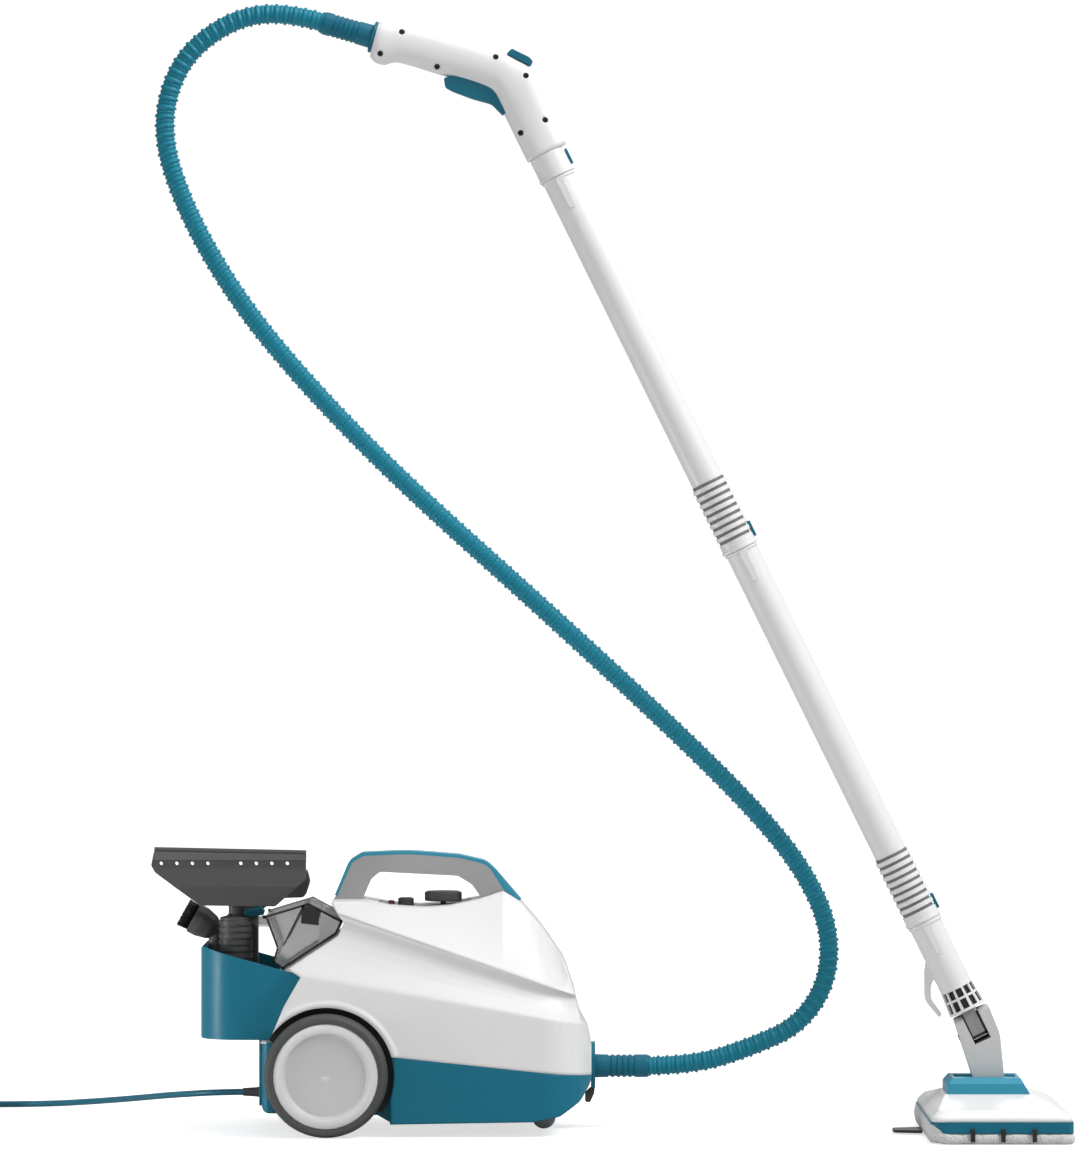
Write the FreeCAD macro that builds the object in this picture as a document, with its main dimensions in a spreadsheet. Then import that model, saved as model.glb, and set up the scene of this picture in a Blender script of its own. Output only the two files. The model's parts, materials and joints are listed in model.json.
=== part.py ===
"""Canister steam cleaner with a hose, a two-tube wand and a steam-mop head.

Row frame: X to the front of the canister, Y away, Z up, in millimetres. The floor is Z = 0.
The canister and the wand lie in two planes of their own, both normal to Y.
"""

import FreeCAD, Part
import Sketcher
import math
import os

V = FreeCAD.Vector
Rotation = FreeCAD.Rotation
Placement = FreeCAD.Placement

# alias, value, what it is
SIZES = [
    ("canister_plane", 36.5, "Y of the canister's middle plane"),
    ("wand_plane", -26.5, "Y of the wand's middle plane"),
    ("wall", 3.0, "housing wall"),
    ("body_width", 236.0, "width of the housings"),
    ("seam_front_z", 64.2, "height of the housing seam at the nose"),
    ("seam_slope", 0.1055, "rise of the seam per mm towards the rear"),
    ("nose_x", -17.5, "front face of the housings"),
    ("rear_x", -376.0, "rear face of the lower housing"),
    ("wheel_dia", 134.0, "rear wheel over the tyre"),
    ("rim_dia", 115.0, "wheel disc, and the tyre's bore"),
    ("tyre_width", 36.0, "tyre"),
    ("track", 270.0, "rear wheels over their outer faces"),
    ("axle_dia", 8.0, "rear axle"),
    ("axle_bore", 8.1, "bore of the wheel hubs"),
    ("axle_x", -305.0, "rear axle"),
    ("arch_dia", 147.0, "wheel arch"),
    ("caster_dia", 26.0, "front caster wheel"),
    ("caster_x", -77.4, "swivel axis of the caster"),
    ("caster_trail", 8.0, "caster wheel behind its swivel axis"),
    ("handle_width", 34.0, "carry handle"),
    ("tank_width", 140.0, "water tank"),
    ("basket_width", 180.0, "accessory basket"),
    ("dial_dia", 41.0, "steam dial"),
    ("button_dia", 17.4, "power button"),
    ("boiler_dia", 90.0, "boiler"),
    ("boiler_length", 120.0, "boiler"),
    ("hose_dia", 23.0, "steam hose"),
    ("cord_dia", 7.0, "power cord"),
    ("coil_dia", 84.0, "cord coil at the middle of its turns"),
    ("coil_rows", 4, "turns of the coil beside each other, and on each other"),
    ("grip_width", 36.0, "pistol grip, both shells"),
    ("wand_tilt", 26.2, "wand from the vertical, in degrees"),
    ("tube_dia", 35.6, "extension tubes"),
    ("socket_dia", 39.4, "socket end of a tube"),
    ("spigot_dia", 31.0, "plug end of a tube"),
    ("socket_bore", 31.8, "bore of a socket end"),
    ("spigot_length", 30.0, "plug end of a tube"),
    ("tube_length", 452.0, "one extension tube without its plug end"),
    ("head_width", 290.0, "mop head, along Y"),
    ("pad_height", 12.0, "microfibre pad under the base"),
]

doc = FreeCAD.newDocument("steam_cleaner")
sheet = doc.addObject("Spreadsheet::Sheet", "sizes")
for row, (alias, number, note) in enumerate(SIZES, start=1):
    sheet.set(f"A{row}", note)
    sheet.set(f"B{row}", str(number))
    sheet.setAlias(f"B{row}", alias)
doc.recompute()

parts = {}  # node name to document object


def mm(alias):
    """A size from the sheet."""
    return float(sheet.get(alias))


def bind(obj, prop, size):
    """Sets a property to a number, or binds it to a formula of the sheet's aliases."""
    if isinstance(size, str):
        obj.setExpression(prop, size)
    else:
        setattr(obj, prop, size)


def of(alias, formula="{}"):
    """The formula text for a sheet alias, such as sizes.wheel_dia / 2."""
    return formula.format("sizes." + alias)


# --- outlines ---------------------------------------------------------------------------------


def rounded(points):
    """A closed outline of lines and tangent arcs. A point is (u, v) or (u, v, corner radius)."""
    corners = [V(p[0], p[1], 0) for p in points]
    radii = [p[2] if len(p) > 2 else 0 for p in points]
    ends = []
    for i, here in enumerate(corners):
        before = (corners[i - 1] - here).normalize()
        after = (corners[(i + 1) % len(corners)] - here).normalize()
        half = before.getAngle(after) / 2
        if radii[i] == 0 or half > math.radians(89.5):
            ends.append((here, None, here))
            continue
        reach = radii[i] / math.tan(half)
        bisector = (before + after).normalize()
        middle = here + bisector * (radii[i] / math.sin(half) - radii[i])
        ends.append((here + before * reach, middle, here + after * reach))
    curves = []
    for i, (start, middle, end) in enumerate(ends):
        if middle is not None:
            curves.append(Part.Arc(start, middle, end))
        following = ends[(i + 1) % len(ends)][0]
        if (following - end).Length > 0.001:
            curves.append(Part.LineSegment(end, following))
    return curves


def inset(points, distance):
    """The outline moved inwards. The corner radii follow it."""
    count = len(points)
    turn = sum(
        points[i - 1][0] * points[i][1] - points[i][0] * points[i - 1][1] for i in range(count)
    )
    side = 1 if turn > 0 else -1
    lines = []
    for i in range(count):
        a, b = points[i], points[(i + 1) % count]
        length = math.hypot(b[0] - a[0], b[1] - a[1])
        du, dv = (b[0] - a[0]) / length, (b[1] - a[1]) / length
        lines.append((a[0] - side * dv * distance, a[1] + side * du * distance, du, dv))
    moved = []
    for i in range(count):
        au, av, adu, adv = lines[i - 1]
        bu, bv, bdu, bdv = lines[i]
        cross = adu * bdv - adv * bdu
        if abs(cross) < 1e-6:
            moved.append((bu, bv))
            continue
        t = ((bu - au) * bdv - (bv - av) * bdu) / cross
        radius = points[i][2] if len(points[i]) > 2 else 0
        if radius:
            radius = max(radius - distance * (1 if cross * side > 0 else -1), 0.3)
        moved.append((au + adu * t, av + adv * t, radius))
    return moved


def mirrored(points):
    """The outline closed by its mirror image across v = 0."""
    return points + [(p[0], -p[1], *p[2:]) for p in reversed(points) if abs(p[1]) > 0.001]


def ring(u, v, radius):
    return [Part.Circle(V(u, v, 0), V(0, 0, 1), radius)]


# --- features ---------------------------------------------------------------------------------


def new_body(label, place=None):
    body = doc.addObject("PartDesign::Body", label)
    body.Label = label
    if place is not None:
        body.Placement = place
    return body


def sketch(body, plane, offset, curves):
    """A sketch on one of the body's origin planes, moved along the plane's normal."""
    flat = body.newObject("Sketcher::SketchObject", "Sketch")
    support = [f for f in body.Origin.OriginFeatures if f.Role == plane + "_Plane"][0]
    flat.AttachmentSupport = (support, [""])
    flat.MapMode = "FlatFace"
    flat.AttachmentOffset = Placement(V(0, 0, offset), Rotation())
    flat.addGeometry(curves, False)
    return flat


def pad(body, plane, curves, low, high, length=None):
    """Material between two levels of the plane's axis. The XZ plane's normal points along -Y."""
    start = -high if plane == "XZ" else low
    feature = body.newObject("PartDesign::Pad", "Pad")
    feature.Profile = sketch(body, plane, start, curves)
    bind(feature, "Length", length if length else high - low)
    body.Tip = feature
    return feature


def pocket(body, plane, curves, low, high):
    """Takes out the material between two levels of the plane's axis."""
    doc.recompute()
    before = body.Shape.Volume
    start = -low if plane == "XZ" else high
    feature = body.newObject("PartDesign::Pocket", "Pocket")
    feature.Profile = sketch(body, plane, start, curves)
    feature.Length = high - low
    body.Tip = feature
    doc.recompute()
    if body.Shape.isNull() or body.Shape.Volume > before - 1:
        raise RuntimeError(f"a pocket of {body.Label} cuts nothing")
    return feature


def round_edges(body, radius, pick, kind="Fillet"):
    """Rounds or bevels the edges of the body's tip that pick chooses."""
    doc.recompute()
    base = body.Tip
    names = [f"Edge{i}" for i, edge in enumerate(base.Shape.Edges, start=1) if pick(edge)]
    feature = body.newObject("PartDesign::" + kind, kind)
    feature.Base = (base, names)
    if kind == "Fillet":
        feature.Radius = radius
    else:
        feature.Size = radius
    body.Tip = feature
    return feature


def turned(label, profile, place=None):
    """A body of revolution about its own Z. The profile is a closed outline of (radius, height)."""
    body = new_body(label, place)
    feature = body.newObject("PartDesign::Revolution", "Turn")
    flat = sketch(body, "XZ", 0, rounded(profile))
    feature.Profile = flat
    feature.ReferenceAxis = (flat, ["V_Axis"])
    feature.Angle = 360
    body.Tip = feature
    return body


def block(label, low, high):
    """A box between two corners."""
    obj = doc.addObject("Part::Box", label)
    obj.Length, obj.Width, obj.Height = [b - a for a, b in zip(low, high)]
    obj.Placement.Base = V(*low)
    return obj


def rod(label, radius, height, place):
    """A cylinder from its place along its own Z. Both sizes may be formulas."""
    obj = doc.addObject("Part::Cylinder", label)
    bind(obj, "Radius", radius)
    bind(obj, "Height", height)
    obj.Placement = place
    return obj


def fuse(label, *shapes):
    obj = doc.addObject("Part::MultiFuse", label)
    obj.Shapes = list(shapes)
    return obj


def cut(label, base, *tools):
    obj = doc.addObject("Part::Cut", label)
    obj.Base = base
    obj.Tool = tools[0] if len(tools) == 1 else fuse(label + "_tools", *tools)
    return obj


def common(label, *shapes):
    obj = doc.addObject("Part::MultiCommon", label)
    obj.Shapes = list(shapes)
    return obj


def together(label, shapes):
    """Several separate solids as one sub-part."""
    obj = doc.addObject("Part::Compound", label)
    obj.Links = list(shapes)
    return obj


def keep(*objects):
    """Marks finished sub-parts. Each one's label is its node name."""
    for obj in objects:
        obj.Label = obj.Name
        parts[obj.Label] = obj


def along(axis, spin=0):
    """The rotation that lays local Z along a row axis."""
    turn = {
        "+X": Rotation(V(0, 1, 0), 90),
        "-X": Rotation(V(0, 1, 0), -90),
        "+Y": Rotation(V(1, 0, 0), -90),
        "-Y": Rotation(V(1, 0, 0), 90),
        "+Z": Rotation(),
    }[axis]
    return turn * Rotation(V(0, 0, 1), spin)


# --- canister housings ------------------------------------------------------------------------

MID = mm("canister_plane")
HALF = mm("body_width") / 2
WALL = mm("wall")
canister = Placement(V(0, MID, 0), Rotation())
AXLE_X, AXLE_Z = mm("axle_x"), mm("wheel_dia") / 2
WELL_INNER = 92.0  # inner wall of a wheel well, from the middle plane



def nose_scale(x):
    """Half width of the housings at X, as a share of the half width at the sides."""
    return math.sqrt(1 - max(0.0, (x + 95) / 87) ** 3.2)


# half width of the housings along X, from the sides to the rounded nose
NOSE = [(x, nose_scale(x)) for x in (-84, -75, -66, -58, -50, -43, -37, -31, -26, -21.5)]
NOSE += [(mm("nose_x"), nose_scale(mm("nose_x")))]
# the hollow between the two side creases: share of its height from the lower one, half width
COVE = [(0.0, 1.0), (0.06, 0.985), (0.18, 0.945), (0.34, 0.893), (0.50, 0.853), (0.66, 0.829)]
COVE += [(0.80, 0.819), (0.91, 0.822), (1.0, 0.86)]
# top line of the upper housing: rear corner, saddle under the handle, nose
SADDLE = [(-268, 253), (-238.6, 247.6), (-205.6, 245.4), (-172.6, 247.6), (-139.6, 254.2)]
CREASE_LOW = (116.1, -0.1765)  # height at X = 0, and slope, of the lower side crease
CREASE_HIGH = (139.3, -0.35)


def seam(x):
    """Height of the seam between the two housings."""
    return mm("seam_front_z") + mm("seam_slope") * (mm("nose_x") - x)


def crease(line, x):
    return line[0] + line[1] * x


def flare(name, shrink):
    """The housing's cross-sections from the tail to the nose, lofted. The side outline trims it."""
    end = mm("nose_x") + 1.5
    stations = [(-385, 1.0), (-302, 1.0), (-205, 1.0), (-114, 1.0)] + NOSE
    stations += [(end, nose_scale(end))]
    sections = []
    for number, (x, scale) in enumerate(stations):
        low, high = crease(CREASE_LOW, x), crease(CREASE_HIGH, x)
        ridge = 262 - 0.0148 * max(0, x + 120) ** 2
        top = (ridge + high + 14 + math.hypot(ridge - high - 14, 8)) / 2
        half = [(HALF * scale, seam(x) - 20)]
        half += [(HALF * scale * share, low + (high - low) * rise) for rise, share in COVE]
        half += [(HALF * 0.34 * scale, top), (HALF * 0.2 * scale, top + 40)]
        points = [(y - shrink, z) for y, z in half]
        outline = [V(x, y, z) for y, z in points] + [V(x, -y, z) for y, z in reversed(points)]
        section = doc.addObject("Part::Polygon", f"{name}_section_{number}")
        section.Nodes = outline
        section.Close = True
        sections.append(section)
    loft = doc.addObject("Part::Loft", name)
    loft.Sections = sections
    loft.Solid = True
    loft.Ruled = True
    return loft


def side_slab(name, points, half):
    """A slab with a side outline, across the canister's middle plane."""
    body = new_body(name)
    pad(body, "XZ", rounded(points), -half, half)
    return body


upper_side = [
    (-376, seam(-376)),
    (-376, 103.2),
    (-367, 103.2),
    (-353.4, 176.9),
    (-293.1, 216.3, 2),
    (-286.5, 231.5, 2),
    (-302, 253, 1.5),
    *SADDLE,
    (-114, 262.6),
    (-94.8, 250.5, 8),
    (-71.7, 223.5, 60),
    (-46.3, 186.6, 40),
    (-36.5, 154.2, 30),
    (-30.1, 126.6, 20),
    (-20.9, 110.4, 12),
    (mm("nose_x"), 96.6, 6),
    (mm("nose_x"), seam(mm("nose_x"))),
]
upper_core = inset(upper_side, WALL)
upper_core[0] = (-373, 90)
upper_core[-1] = (mm("nose_x") - WALL, 50)


def wheel_well(name, radius, inner):
    """Both wheel wells as cylinders, from an inner wall outwards."""
    sides = []
    for side, axis in ((1, "+Y"), (-1, "-Y")):
        place = Placement(V(AXLE_X, side * inner, AXLE_Z), along(axis))
        sides.append(rod(f"{name}_{axis[1]}{side}", radius, 60, place))
    return fuse(name, *sides)


# the curve where the basket's side walls end against the wider housing
basket_edge = [(-332.6, 173.3), (-350.8, 141.5, 60), (-365.7, 105.7)]
narrow_tail = []
for side in (-1, 1):
    zone = new_body(f"narrow_tail_{side}")
    outline = [(-400, 100)] + [(x, z) for x, z, *_ in reversed(basket_edge)] + [(-400, 215)]
    pad(zone, "XZ", rounded(outline), *sorted((side * 85, side * 130)))
    narrow_tail.append(zone)

shell = common("upper_shell", side_slab("upper_side", upper_side, 130), flare("upper_flare", 0))
ARCH_R = mm("arch_dia") / 2
lip_line = [(ARCH_R - 2, HALF - 8), (ARCH_R + 8, HALF - 8), (ARCH_R + 7, HALF + 0.6)]
lip_line += [(ARCH_R + 5, HALF + 2.2, 1), (ARCH_R - 2, HALF + 2.2)]
lips = []
for side, axis in ((1, "+Y"), (-1, "-Y")):
    lips.append(turned(f"arch_lip_{side}", lip_line, Placement(V(AXLE_X, 0, AXLE_Z), along(axis))))
arch_lips = common("arch_lips", fuse("arch_rings", *lips), side_slab("lip_room", upper_side, 140))
outer = fuse("upper_outer", shell, arch_lips)
core = cut(
    "upper_core",
    common("upper_core_full", side_slab("upper_core_side", upper_core, 130), flare("core_flare", 3)),
    wheel_well("upper_well_walls", of("arch_dia", "{} / 2 + sizes.wall"), WELL_INNER - WALL),
    block("tail_wall_near", (-380, -130, 60), (-329, -82, 220)),
    block("tail_wall_far", (-380, 82, 60), (-329, 130, 220)),
)
PANEL = (-250, -150, 29)  # rear and front end and half width of the opening for the control panel
upper_housing = cut(
    "upper_housing",
    outer,
    core,
    wheel_well("upper_wells", of("arch_dia", "{} / 2"), WELL_INNER),
    *narrow_tail,
    block("panel_opening", (PANEL[0], -PANEL[2], 236), (PANEL[1], PANEL[2], 270)),
    rod("socket_opening", 10, 30, Placement(V(-40, 0, 68.8), along("+X"))),
)
upper_housing.Placement = canister

plan_half = [(-376, 90, 10), (-236, 90), (-236, HALF, 3)]
plan_half += [(x, HALF * scale) for x, scale in NOSE]
lower_plan = mirrored(plan_half)
lower_side = [
    (-376, seam(-376)),
    (-376, 24, 8),
    (-250, 22),
    (-236, 14, 4),
    (-81, 16.5),
    (-52, 22, 15),
    (-30, 37, 20),
    (-20, 53, 10),
    (mm("nose_x"), 60),
    (mm("nose_x"), seam(mm("nose_x"))),
]
lower_core = inset(lower_side, WALL)
lower_core[0] = (-373, 130)
lower_core[-1] = (mm("nose_x") - WALL, 100)


def plan_slab(name, points, low, high):
    body = new_body(name)
    pad(body, "XY", rounded(points), low, high)
    return body


CASTER_X = mm("caster_x")
caster_well = Placement(V(CASTER_X, 0, 0), Rotation())
lower_housing = cut(
    "lower_housing",
    fuse(
        "tub",
        cut(
            "tub_shell",
            common(
                "tub_outer",
                side_slab("tub_side", lower_side, 130),
                plan_slab("tub_plan", lower_plan, 0, 120),
            ),
            common(
                "tub_core",
                side_slab("tub_core_side", lower_core, 130),
                plan_slab("tub_core_plan", inset(lower_plan, WALL), 0, 140),
            ),
        ),
        rod("caster_boss", 27, 44, Placement(V(CASTER_X, 0, 18), Rotation())),
    ),
    rod("caster_recess", 24, 44, caster_well),
    rod("caster_stem_bore", 4.05, 70, caster_well),
    wheel_well("lower_wells", of("arch_dia", "{} / 2"), WELL_INNER),
    rod("axle_hole", 4.0, 300, Placement(V(AXLE_X, -150, AXLE_Z), along("+Y"))),
    rod("gland_hole", 5.5, 12, Placement(V(-382, 0, 40), along("+X"))),
    rod("socket_hole", 10, 30, Placement(V(-40, 0, 68.8), along("+X"))),
)
lower_housing.Placement = canister

rear_panel = new_body("rear_panel", canister)
pad(
    rear_panel,
    "YZ",
    rounded([(-70, 30, 8), (70, 30, 8), (70, 102, 4), (-70, 102, 4)]) + ring(0, 40, 5.5),
    -379.5,
    -376,
)
keep(upper_housing, lower_housing, rear_panel)

# --- carry handle and control panel -----------------------------------------------------------

# outer line of the teal trim, from the rear foot over the grip to the nose
TRIM = [
    (-299, 257),
    (-283, 295, 14),
    (-269, 303.8, 14),
    (-216.6, 306, 300),
    (-161.6, 301.6),
    (-133, 295, 20),
    (-123, 286, 20),
    (-94.2, 252.3),
]
grip_line = [(-295.5, 257.2), (-280, 293, 12), (-267.5, 300.2, 12), (-216.6, 302.3, 300)]
grip_line += [(-162.2, 298), (-135, 291.5, 20), (-128, 286, 20), (-113.5, 263.2)]
carry_handle = new_body("carry_handle", canister)
foot_line = [(-138.5, 255.0), (-148.4, 269, 14), (-163.8, 278.4, 10), (-249.6, 282.8, 8)]
foot_line += [(-259, 274.5, 8), (-268.3, 253.1), (-301, 253.1, 1)]
pad(carry_handle, "XZ", rounded(grip_line + foot_line), -17, 17, of("handle_width"))
handle_trim = new_body("handle_trim", canister)
trim_inner = [(-96.5, 252.0)] + list(reversed(grip_line))
pad(handle_trim, "XZ", rounded(TRIM + trim_inner), -17, 17, of("handle_width"))

panel_top = [(x, z - 0.5) for x, z in SADDLE[1:4]]
panel_top = [(PANEL[0] + 0.3, 249.2)] + panel_top + [(PANEL[1] - 0.3, 251.3)]
panel_line = panel_top + [(x, z - 3.4) for x, z in reversed(panel_top)]
PANEL_HALF = PANEL[2] - 0.3
control_panel = new_body("control_panel", canister)
pad(control_panel, "XZ", rounded(panel_line), -PANEL_HALF, PANEL_HALF)
DIAL_X, BUTTON_X, LAMP_X = -180.0, -221.0, -237.0
pocket(control_panel, "XY", ring(DIAL_X, 0, 3.06), 235, 260)
pocket(control_panel, "XY", ring(BUTTON_X, 0, mm("button_dia") / 2 + 0.35), 235, 260)
pocket(control_panel, "XY", ring(LAMP_X, 0, 3.5), 235, 260)

lamp_lens = turned(
    "indicator_lens",
    [(0, 242), (3.5, 242), (3.5, 247.7), (3.9, 247.7), (3.9, 249, 1), (2.4, 250.9, 1), (0, 251)],
    Placement(V(LAMP_X, MID, 0), Rotation()),
)
button_half = mm("button_dia") / 2
power_button = turned(
    "power_button",
    [
        (0, 236),
        (button_half + 1.8, 236),
        (button_half + 1.8, 239.5),
        (button_half, 239.5),
        (button_half, 253, 1.5),
        (button_half - 2.5, 254.2, 3),
        (0, 253.4),
    ],
    Placement(V(BUTTON_X, MID, 0), Rotation()),
)
dial_half = mm("dial_dia") / 2
steam_dial = turned(
    "steam_dial",
    [
        (0, 236),
        (3, 236),
        (3, 250.2),
        (dial_half - 1, 250.2, 0.6),
        (dial_half, 251.5),
        (dial_half, 259.8, 1.5),
        (dial_half - 3, 261.2, 1),
        (0, 261.2),
    ],
    Placement(V(DIAL_X, MID, 0), Rotation()),
)
pocket(steam_dial, "XY", rounded([(6, -1.2), (19, -1.2), (19, 1.2), (6, 1.2)]), 260.2, 262)
keep(carry_handle, handle_trim, control_panel, lamp_lens, power_button, steam_dial)

# --- water tank -------------------------------------------------------------------------------

TANK_HALF = mm("tank_width") / 2
tank_side = [
    (-376, 236.4, 2),
    (-325.5, 251.5, 3),
    (-288.5, 231.8, 3),
    (-294.8, 217.6, 3),
    (-353.8, 179, 3),
    (-365, 187, 4),
    (-360.3, 202.3, 8),
    (-371.8, 233.5, 2),
]
tank_outer = side_slab("tank_outer", tank_side, TANK_HALF)
pad(tank_outer, "XZ", rounded([(-396, 222), (-370, 222), (-370, 234.8), (-396, 231)]), -11, 11)
pocket(tank_outer, "XY", rounded([(-394, -9), (-366, -9), (-366, 9), (-394, 9)]), 224.5, 240)
water_tank = cut(
    "water_tank", tank_outer, side_slab("tank_core", inset(tank_side, 2.5), TANK_HALF - 2.5)
)
water_tank.Placement = canister
LID_HINGE = (-374.5, 238.2)
tank_lid = new_body("tank_lid", canister)
lid_line = [(-398, 231.6), (-377.5, 235.2), (-376.3, 239.4, 1), (-380, 243, 3), (-398, 239.5, 2)]
pad(tank_lid, "XZ", rounded(lid_line), -12, 12)
keep(water_tank, tank_lid)

# --- accessory basket -------------------------------------------------------------------------

BASKET_HALF = mm("basket_width") / 2
RIM_SLOPE = -0.2796
basket_side = [(-443.8, 103.5, 3), (-366.9, 103.5)]
basket_side += [(x, z) for x, z, *_ in reversed(basket_edge)]
basket_side += [(-443.8, 173.3 + RIM_SLOPE * (-443.8 + 332.6), 3)]
basket_plan = [(-300, -BASKET_HALF), (-443.8, -BASKET_HALF, 45)]
basket_plan += [(-443.8, BASKET_HALF, 45), (-300, BASKET_HALF)]
inner_side = [(-470, 106), (-370.2, 106), (-354.5, 192), (-354.5, 230), (-470, 230)]
tail_side = [(-367.4, 102), (-353.7, 177.5), (-353.7, 230), (-300, 230), (-300, 102)]
inner_plan = [(-300, -BASKET_HALF + 2.5), (-441.3, -BASKET_HALF + 2.5, 42)]
inner_plan += [(-441.3, BASKET_HALF - 2.5, 42), (-300, BASKET_HALF - 2.5)]
accessory_basket = cut(
    "accessory_basket",
    common(
        "basket_outer",
        side_slab("basket_side", basket_side, BASKET_HALF),
        plan_slab("basket_plan", basket_plan, 100, 240),
    ),
    common(
        "basket_core",
        side_slab("basket_core_side", inner_side, BASKET_HALF),
        plan_slab("basket_core_plan", inner_plan, 100, 240),
    ),
    side_slab("tail_room", tail_side, 85.2),
)
accessory_basket.Placement = canister
keep(accessory_basket)

# --- hand tools in the basket -----------------------------------------------------------------

JET = V(-406.5, MID - 35, 0)
ribs = []
for step in range(6):
    z = 190 + step * 7.2
    ribs += [(18.6, z), (18.6, z + 4.6), (17.2, z + 4.6), (17.2, z + 7.2)]
jet_nozzle = turned(
    "jet_nozzle",
    [(0, 108), (8, 108), (8, 150), (16, 176), (17.2, 190)]
    + ribs
    + [(17.2, 234, 1), (10, 236), (7.9, 238), (7.9, 262, 1), (0, 262)],
    Placement(JET, Rotation()),
)

SQUEEGEE_Y = MID - 35
squeegee_body = new_body("squeegee_body", Placement(V(0, SQUEEGEE_Y, 0), Rotation()))
squeegee_line = [
    (-498.8, 291, 4),
    (-494.5, 283.5, 8),
    (-444.5, 247.5, 6),
    (-362.6, 246.5, 4),
    (-345, 262, 10),
    (-330, 275, 6),
    (-329.5, 303.5),
    (-495.5, 306.8),
]
pad(squeegee_body, "XZ", rounded(squeegee_line), -17, 17)
lower_face = [(-17, 240), (-17, 268), (-8.5, 288), (-8.5, 312), (-40, 312), (-40, 240)]
upper_face = [(17, 240), (17, 262), (6, 290), (6, 312), (40, 312), (40, 240)]
pocket(squeegee_body, "YZ", rounded(lower_face), -505, -320)
pocket(squeegee_body, "YZ", rounded(upper_face), -505, -320)
pocket(squeegee_body, "XY", ring(JET.x, 0, 8.3), 240, 264)
steam_holes = []
for x in (-488, -471, -454, -437, -401, -384, -367, -350):
    steam_holes += ring(x, 293, 2.1)
pocket(squeegee_body, "XZ", steam_holes, -20, 20)
squeegee_lip = new_body("squeegee_lip", Placement(V(0, SQUEEGEE_Y, 0), Rotation()))
lip_line = [(-495.5, 306.9), (-329.5, 303.6), (-329.3, 307.3), (-495.3, 310.8)]
pad(squeegee_lip, "XZ", rounded(lip_line), -6, 1)

BRUSH = V(-444, MID, 226)
brush_turn = Rotation(V(0, 1, 0), -61)
brush_head = turned(
    "brush_head",
    [(0, -20), (8, -20, 4), (14, -10, 5), (17, 2), (17, 12, 1), (0, 12)],
    Placement(BRUSH, brush_turn),
)
brush_neck = rod("brush_neck", 8, 118, Placement(V(-430, MID, 108), Rotation()))
brush_body = fuse("brush_body", brush_head, brush_neck)
tufts = []
for circle, count in ((0, 1), (6, 6), (12, 12)):
    for step in range(count):
        angle = 2 * math.pi * step / count
        foot = V(circle * math.cos(angle), circle * math.sin(angle), 12)
        place = Placement(BRUSH, brush_turn) * Placement(foot, Rotation())
        tufts.append(rod(f"tuft_{circle}_{step}", 2.2, 13, place))
brush_bristles = together("brush_bristles", tufts)

UPHOLSTERY_Y = MID + 32
upholstery_tool = new_body("upholstery_tool", Placement(V(0, UPHOLSTERY_Y, 0), Rotation()))
tool_line = [
    (-404, 108),
    (-385, 108),
    (-385, 236, 6),
    (-362, 252, 6),
    (-333, 253, 6),
    (-327.5, 270, 8),
    (-331, 283, 4),
    (-424, 286, 4),
    (-424, 262, 6),
    (-404, 240, 6),
]
pad(upholstery_tool, "XZ", rounded(tool_line), -16, 16)
keep(jet_nozzle, squeegee_body, squeegee_lip, brush_body, brush_bristles, upholstery_tool)

# --- rear wheels and axle ---------------------------------------------------------------------

TYRE_R, RIM_R = mm("wheel_dia") / 2, mm("rim_dia") / 2
FACE = mm("track") / 2  # outer face of a wheel from the middle plane
INNER_FACE = FACE - mm("tyre_width")
BORE_R = mm("axle_bore") / 2
tyre_line = [
    (RIM_R, INNER_FACE),
    (TYRE_R - 3, INNER_FACE, 4),
    (TYRE_R, INNER_FACE + 12, 20),
    (TYRE_R, FACE - 12, 20),
    (TYRE_R - 3, FACE, 4),
    (RIM_R, FACE),
]
wheel_line = [
    (0, FACE - 9),
    (0, FACE - 5.5),
    (44, FACE - 3.5, 2),
    (46, FACE - 0.8),
    (RIM_R - 4, FACE - 1.2, 4),
    (RIM_R, FACE - 6),
    (RIM_R, INNER_FACE + 1),
    (RIM_R - 4, INNER_FACE + 1),
    (RIM_R - 4, FACE - 9, 3),
    (13, FACE - 11),
    (13, INNER_FACE - 3),
    (BORE_R, INNER_FACE - 3),
    (BORE_R, FACE - 9),
]
for hand, axis in (("left", "-Y"), ("right", "+Y")):
    place = Placement(V(AXLE_X, MID, AXLE_Z), along(axis))
    keep(turned(f"tyre_{hand}", tyre_line, place), turned(f"wheel_{hand}", wheel_line, place))
AXLE_HALF = FACE - 10
rear_axle = rod(
    "rear_axle",
    of("axle_dia", "{} / 2"),
    2 * AXLE_HALF,
    Placement(V(AXLE_X, MID - AXLE_HALF, AXLE_Z), along("+Y")),
)
keep(rear_axle)

# --- front caster -----------------------------------------------------------------------------

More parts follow.
